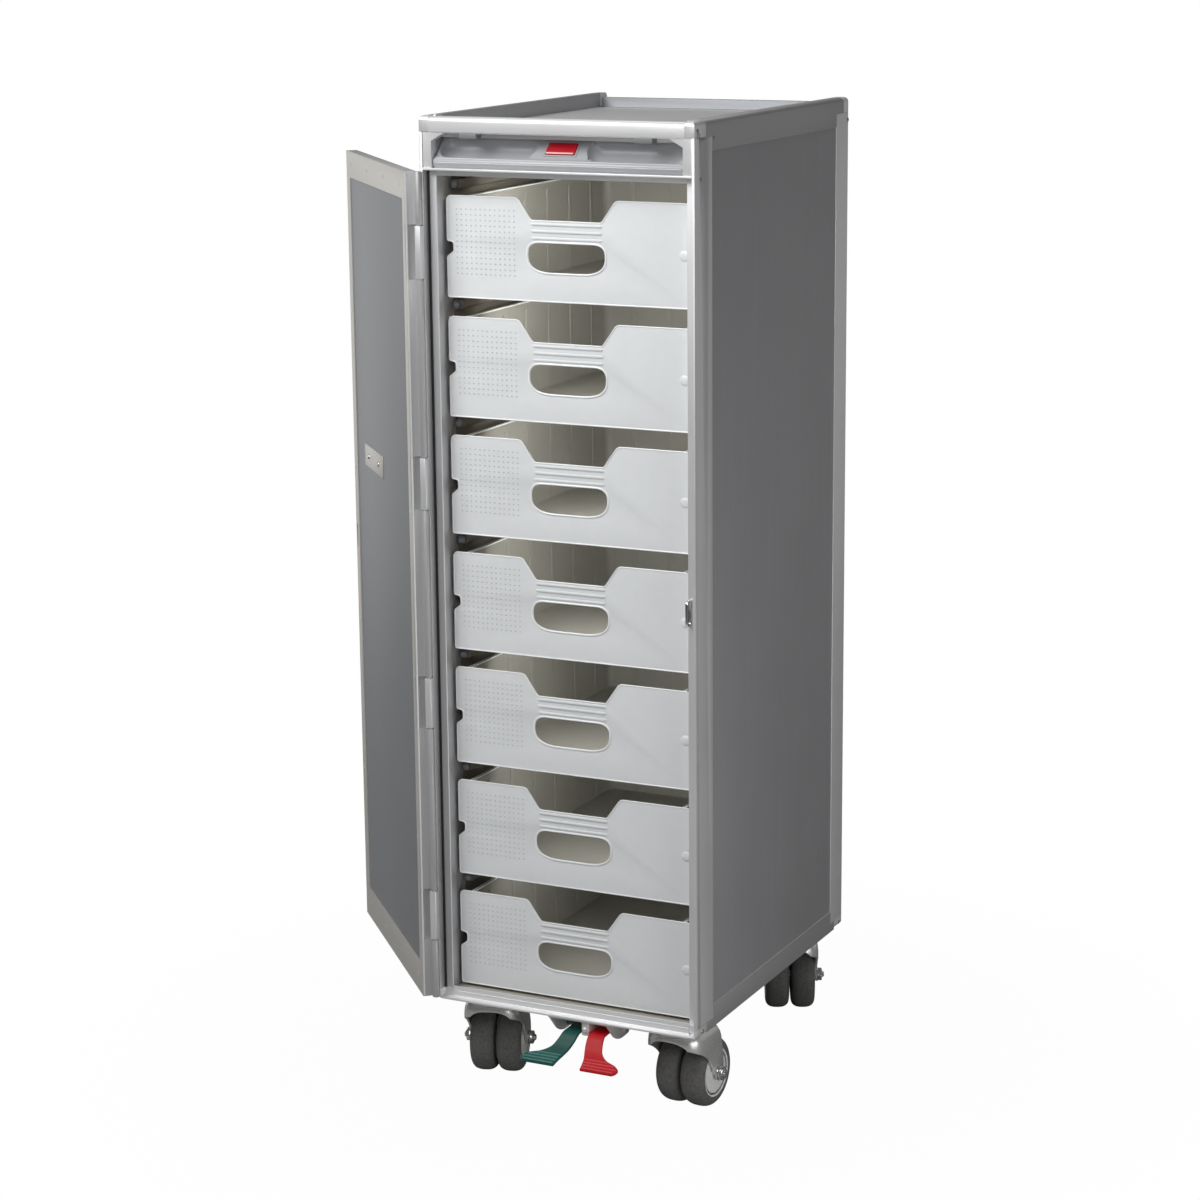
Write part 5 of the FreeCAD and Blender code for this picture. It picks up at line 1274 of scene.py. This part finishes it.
def cheek_plate(x):
    y0, y1, z0, z1 = (v / MM for v in (bracket_low.y, bracket_high.y, bracket_low.z, bracket_high.z))
    outline = rounded([(y0, z1 - 1), (y0 + 24, z0), (y1 - 2, z0), (y1, z1 - 1)], [1, 34, 14, 1], 8)
    hole = [(shaft_at.y / MM + y, shaft_at.z / MM + z) for y, z in ring(SHAFT_HOLE, 20)]
    sheet = plate([[Vector(p) * MM for p in outline], [Vector(p) * MM for p in hole]], SHEET, 0.4 * MM)
    upright = axes(Vector((0, 1, 0)), Vector((0, 0, 1)), Vector((1, 0, 0)))
    return placed(sheet, Matrix.Translation((x, 0, 0)) @ upright)


top_plate = eased_block((bracket_low.x, bracket_low.y, bracket_high.z - SHEET), bracket_high, 0.4 * MM)
cheeks = [cheek_plate(bracket_low.x + SHEET / 2), cheek_plate(bracket_high.x - SHEET / 2)]
keep(gathered([top_plate] + cheeks), "bracket_plates", "trolley", "plate",
     ["brake_bracket"])
clevis_low = Vector((PEDAL_CENTRE - 4.2 * MM, FRONT + 4 * MM, bracket_high.z - 17 * MM))
clevis_high = Vector((PEDAL_CENTRE + 4.2 * MM, FRONT + 34 * MM, bracket_high.z - SHEET))
bolt_at = Matrix.Translation((PEDAL_CENTRE, clevis_low.y, bracket_high.z - 10 * MM))
bolt = placed(turned([(0, 0.2), (0, 2.8), (1.6, 2.8), (2.4, 1.8), (2.4, 0.2)], 20),
              bolt_at @ Matrix.Rotation(math.radians(-90), 4, "Z"))
clevis = gathered([eased_block(clevis_low, clevis_high, 1.2 * MM, 3), bolt])
keep(clevis, "clevis", "trolley", "plate")
print("clevis faces", len(clevis.polygons))

# %% [markdown]
# ## The carrying handle
#
# The handle is one grey moulding that fills the bay: two finger scoops with a rounded front bar,
# and a sloping bridge with the red latch button between them.  Scooping is cutting, so each scoop
# is a long capsule cut from the block.

# %% Blank, scoops and openings
bay_low, bay_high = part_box("grab_handle")
HANDLE_HALF = bay_high.x / MM
HANDLE_START = (0, FRONT, bay_low.z)
SCOOP_RADIUS, SCOOP_BACK, SCOOP_UP = 14.0, 14.0, 22.5
SCOOP_LEAN = 0.30
SCOOP_END = [(0, 0.30), (1.5, 0.62), (4, 0.82), (8, 0.95), (13, 1.0)]


def handle_blank():
    depth, top = (bay_high.y - FRONT) / MM, (bay_high.z - bay_low.z) / MM
    stations = [(5.5, 0.0), (4.0, 1.8), (3.1, 4.5), (3.2, 7.2), (4.6, 9.3), (6.6, 10.4), (8.6, 11.2)]
    outline = smooth_run(stations, 3) + [(depth - 1.5, top), (depth, top), (depth, 0.0)]
    return drawn(outline, (-HANDLE_HALF, HANDLE_HALF), HANDLE_START)


def capsule(x0, x1, lean):
    """A long rounded tool along X whose inner end leans like the bridge's side."""
    x_start, y_start, z_start = HANDLE_START
    stations = [(x0 + x, k) for x, k in SCOOP_END] + [(x1 - x, k) for x, k in reversed(SCOOP_END)]
    sections = []
    for x, k in stations:
        at_bridge = (x > (x0 + x1) / 2) == (lean > 0)
        slant = lean * SCOOP_LEAN if at_bridge else 0
        sections.append([(x_start + (x + slant * z) * MM, y_start + (SCOOP_BACK + y) * MM,
                          z_start + (SCOOP_UP + z) * MM) for y, z in ring(SCOOP_RADIUS * k, 32)])
    return lofted(sections)


def open_top(x0, x1):
    """Clears what is left above a scoop, so the channel is open to the hand."""
    return drawn([(-2, 12), (13, 12), (24, 24), (27.3, 27.2), (27.3, 40), (-2, 40)], (x0, x1), HANDLE_START)


handle = handle_blank()
handle = cut(handle, [capsule(-HANDLE_HALF + 2.5, -27, 1), capsule(27, HANDLE_HALF - 2.5, -1)])
handle = cut(handle, [open_top(-HANDLE_HALF + 11, -31.5), open_top(31.5, HANDLE_HALF - 11)])
print("scooped handle faces", len(handle.polygons))

# %% Bridge well and lip lines
slope_foot = Vector((0, FRONT + 8.5 * MM, bay_low.z + 11 * MM))
slope_top = Vector((0, FRONT + 28 * MM, bay_low.z + 30 * MM))
up_slope = (slope_top - slope_foot).normalized()
off_slope = Vector((0, -up_slope.z, up_slope.y))
ON_SLOPE = Matrix.Translation((slope_foot + slope_top) / 2) @ axes(Vector((1, 0, 0)), up_slope, off_slope)
well = placed(block((-16.3 * MM, -7.8 * MM, -6.2 * MM), (16.3 * MM, 7.8 * MM, 5 * MM)), ON_SLOPE)
handle = eased_mesh(cut(handle, [well]), 0.6 * MM, 3, 28)
# The two lines on the front lip are the handle's own plastic; their paler finish is painted highlight.
line_half = (HANDLE_HALF - 2) * MM
lip_runs = [[(x, FRONT + y * MM, bay_low.z + z * MM) for x in (-line_half, line_half)]
            for y, z in ((3.1, 5.6), (5.3, 9.7))]
highlight_line_piece("handle_lip_highlight_lines", "trolley", "handle_line", lip_runs, 0.4 * MM)
keep(handle, "handle_moulding", "trolley", "handle", ["grab_handle"], 40)
print("handle faces", len(handle.polygons))

# %% [markdown]
# ## The latch button
#
# A red cap with a paler lip sits in a thin bezel on the slope of the bridge.  All three are made
# flat and then laid on the slope, which is easier to measure than a tilted block.

# %% The red button and its bezel
def pad_outline(w, h):
    return [Vector((x * w, y * h)) * MM for x, y in SQUARE]


cap = eased_block((-16 * MM, -7.5 * MM, -3.2 * MM), (16 * MM, 7.5 * MM, 1.8 * MM), 0.8 * MM, 3)
keep(placed(cap, ON_SLOPE), "button_cap", "button", "red", ["latch_button"])
# The lip is a thin raised strip on the red button; its pale pink is painted highlight.
lip_highlight = eased_block((-15 * MM, -7.4 * MM, 1.7 * MM), (15 * MM, -5.6 * MM, 2.3 * MM), 0.25 * MM)
keep(placed(lip_highlight, ON_SLOPE), "button_lip_highlight", "button", "red_lip")
bezel = plate([pad_outline(18.2, 9.6), pad_outline(16.4, 7.9)], 0.8 * MM, 0.2 * MM)
bezel = placed(bezel, ON_SLOPE @ Matrix.Translation((0, 0, 0.4 * MM)))
keep(bezel, "button_bezel", "trolley", "handle")
print("bezel faces", len(bezel.polygons))

# %% [markdown]
# ## Studio
#
# A large softbox high in front on the left makes the front bright and lets it fade towards the
# foot, with a weak one above and one in front to fill.  Weak ones at the right and at the left
# stand where the long side and the open door mirror them, because brushed metal looks black when
# it has nothing to reflect, and a low one lights the casters.  Milky plastic lets light into the
# cart, so a small soft lamp in each drawer bay stands for what comes through.

# %% Lamps
def softbox(name, at, to, size, watts):
    data = bpy.data.lights.new(name, "AREA")
    data.shape = "RECTANGLE"
    data.size, data.size_y = size
    data.energy = watts
    lamp = bpy.data.objects.new(name, data)
    lamp.location = at
    lamp.rotation_mode = "QUATERNION"
    lamp.rotation_quaternion = (Vector(to) - Vector(at)).to_track_quat("-Z", "Y")
    bpy.context.scene.collection.objects.link(lamp)
    return lamp


softbox("key_softbox", (-0.6, -1.2, 1.9), (0, -0.2, 0.95), (1.0, 0.8), 24)
softbox("top_softbox", (0.1, 0.5, 2.4), (0, 0, 1.0), (1.2, 1.2), 5)
softbox("front_fill", (0.3, -1.5, 1.2), (0, -0.2, 1.0), (0.6, 0.4), 3.4)
softbox("right_softbox", (1.5, 1.9, 0.5), (0.2, 0.2, 0.1), (2.4, 1.5), 2.6)
softbox("foot_light", (1.3, -0.45, 0.2), (0.12, -0.15, 0.07), (1.0, 0.35), 3.4)
softbox("left_softbox", (-2.2, 1.0, 0.5), (-0.3, -0.3, 0.3), (1.8, 1.4), 7)
BAY_SIZE, LOWEST_BAY_WATTS, MORE_PER_BAY = (0.15, 0.03), 0.115, 0.033
for n, node in enumerate(DRAWERS):
    low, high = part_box(node)
    above, aimed_at = (0, low.y + 45 * MM, high.z + 6 * MM), (0, high.y, low.z + 30 * MM)
    glow = softbox(f"bay_glow_{n + 1}", above, aimed_at, BAY_SIZE, LOWEST_BAY_WATTS + MORE_PER_BAY * n)
    glow.visible_camera = glow.visible_glossy = False
print("lamps", len(bpy.data.lights))

# %% [markdown]
# ## The white room
#
# The cart stands on pale paper in a white room.  The camera sees the paper as nearly pure white,
# with just enough of its own shade left to show the shadow, while every other ray meets plain
# grey paper.  The world is split in the same way: white to the camera, dim as a light.

# %% Floor paper
def stage_plane(name, corners):
    mesh = bpy.data.meshes.new(name)
    mesh.from_pydata([Vector(c) for c in corners], [], [(0, 1, 2, 3)])
    plane = bpy.data.objects.new(name, mesh)
    bpy.context.scene.collection.objects.link(plane)
    return plane


def seen_directly(finish):
    """1 for rays from the camera, also through clear material."""
    path = finish.tree.nodes.new("ShaderNodeLightPath")
    rays = ("Is Camera Ray", "Is Transmission Ray")
    camera_ray, through = (Field(finish, path.outputs[name]) for name in rays)
    return camera_ray.sum("MAXIMUM", camera_ray, through)


FLOOR_REACH, FLOOR_AT = 7.0, -0.3 * MM
floor = stage_plane("studio_floor", [(x * FLOOR_REACH, y * FLOOR_REACH, FLOOR_AT) for x, y in SQUARE])
paper = Finish("white floor paper", {"Base Color": (0.4, 0.4, 0.4, 1), "Roughness": 0.7})
distance = paper.node("VectorMath", {"operation": "LENGTH"}, {0: paper.place}, "Value")
fade = {"Value": distance, "From Min": 0.25, "From Max": 0.9, "To Min": 0.98, "To Max": 1.0}
whiteness = paper.node("MapRange", {"interpolation_type": "SMOOTHSTEP"}, fade)
glow = paper.node("Emission", None, {"Color": (1, 1, 1, 1), "Strength": 1.0})
mixed = paper.tree.nodes.new("ShaderNodeMixShader")
paper.tree.links.new((seen_directly(paper) * whiteness).socket, mixed.inputs[0])
paper.tree.links.new(paper.shader.outputs[0], mixed.inputs[1])
paper.tree.links.new(glow.socket, mixed.inputs[2])
paper.tree.links.new(mixed.outputs[0], paper.surface.inputs[0])
floor.data.materials.append(paper.material)
print("floor reaches", FLOOR_REACH, "m")

# %% White room
ROOM_LIGHT = 0.14
world = bpy.data.worlds.new("white room")
bpy.context.scene.world = world
world.use_nodes = True
room = world.node_tree
room.nodes.clear()
lit = room.nodes.new("ShaderNodeBackground")
lit.inputs[0].default_value = (1, 1, 1, 1)
lit.inputs[1].default_value = ROOM_LIGHT
white = room.nodes.new("ShaderNodeBackground")
white.inputs[0].default_value = (1, 1, 1, 1)
white.inputs[1].default_value = 1.0
path = room.nodes.new("ShaderNodeLightPath")
either = room.nodes.new("ShaderNodeMath")
either.operation = "MAXIMUM"
room.links.new(path.outputs["Is Camera Ray"], either.inputs[0])
room.links.new(path.outputs["Is Transmission Ray"], either.inputs[1])
choose = room.nodes.new("ShaderNodeMixShader")
room.links.new(either.outputs[0], choose.inputs[0])
room.links.new(lit.outputs[0], choose.inputs[1])
room.links.new(white.outputs[0], choose.inputs[2])
room_out = room.nodes.new("ShaderNodeOutputWorld")
room.links.new(choose.outputs[0], room_out.inputs[0])
bpy.context.scene.view_settings.view_transform = "Standard"
print("room light", ROOM_LIGHT)
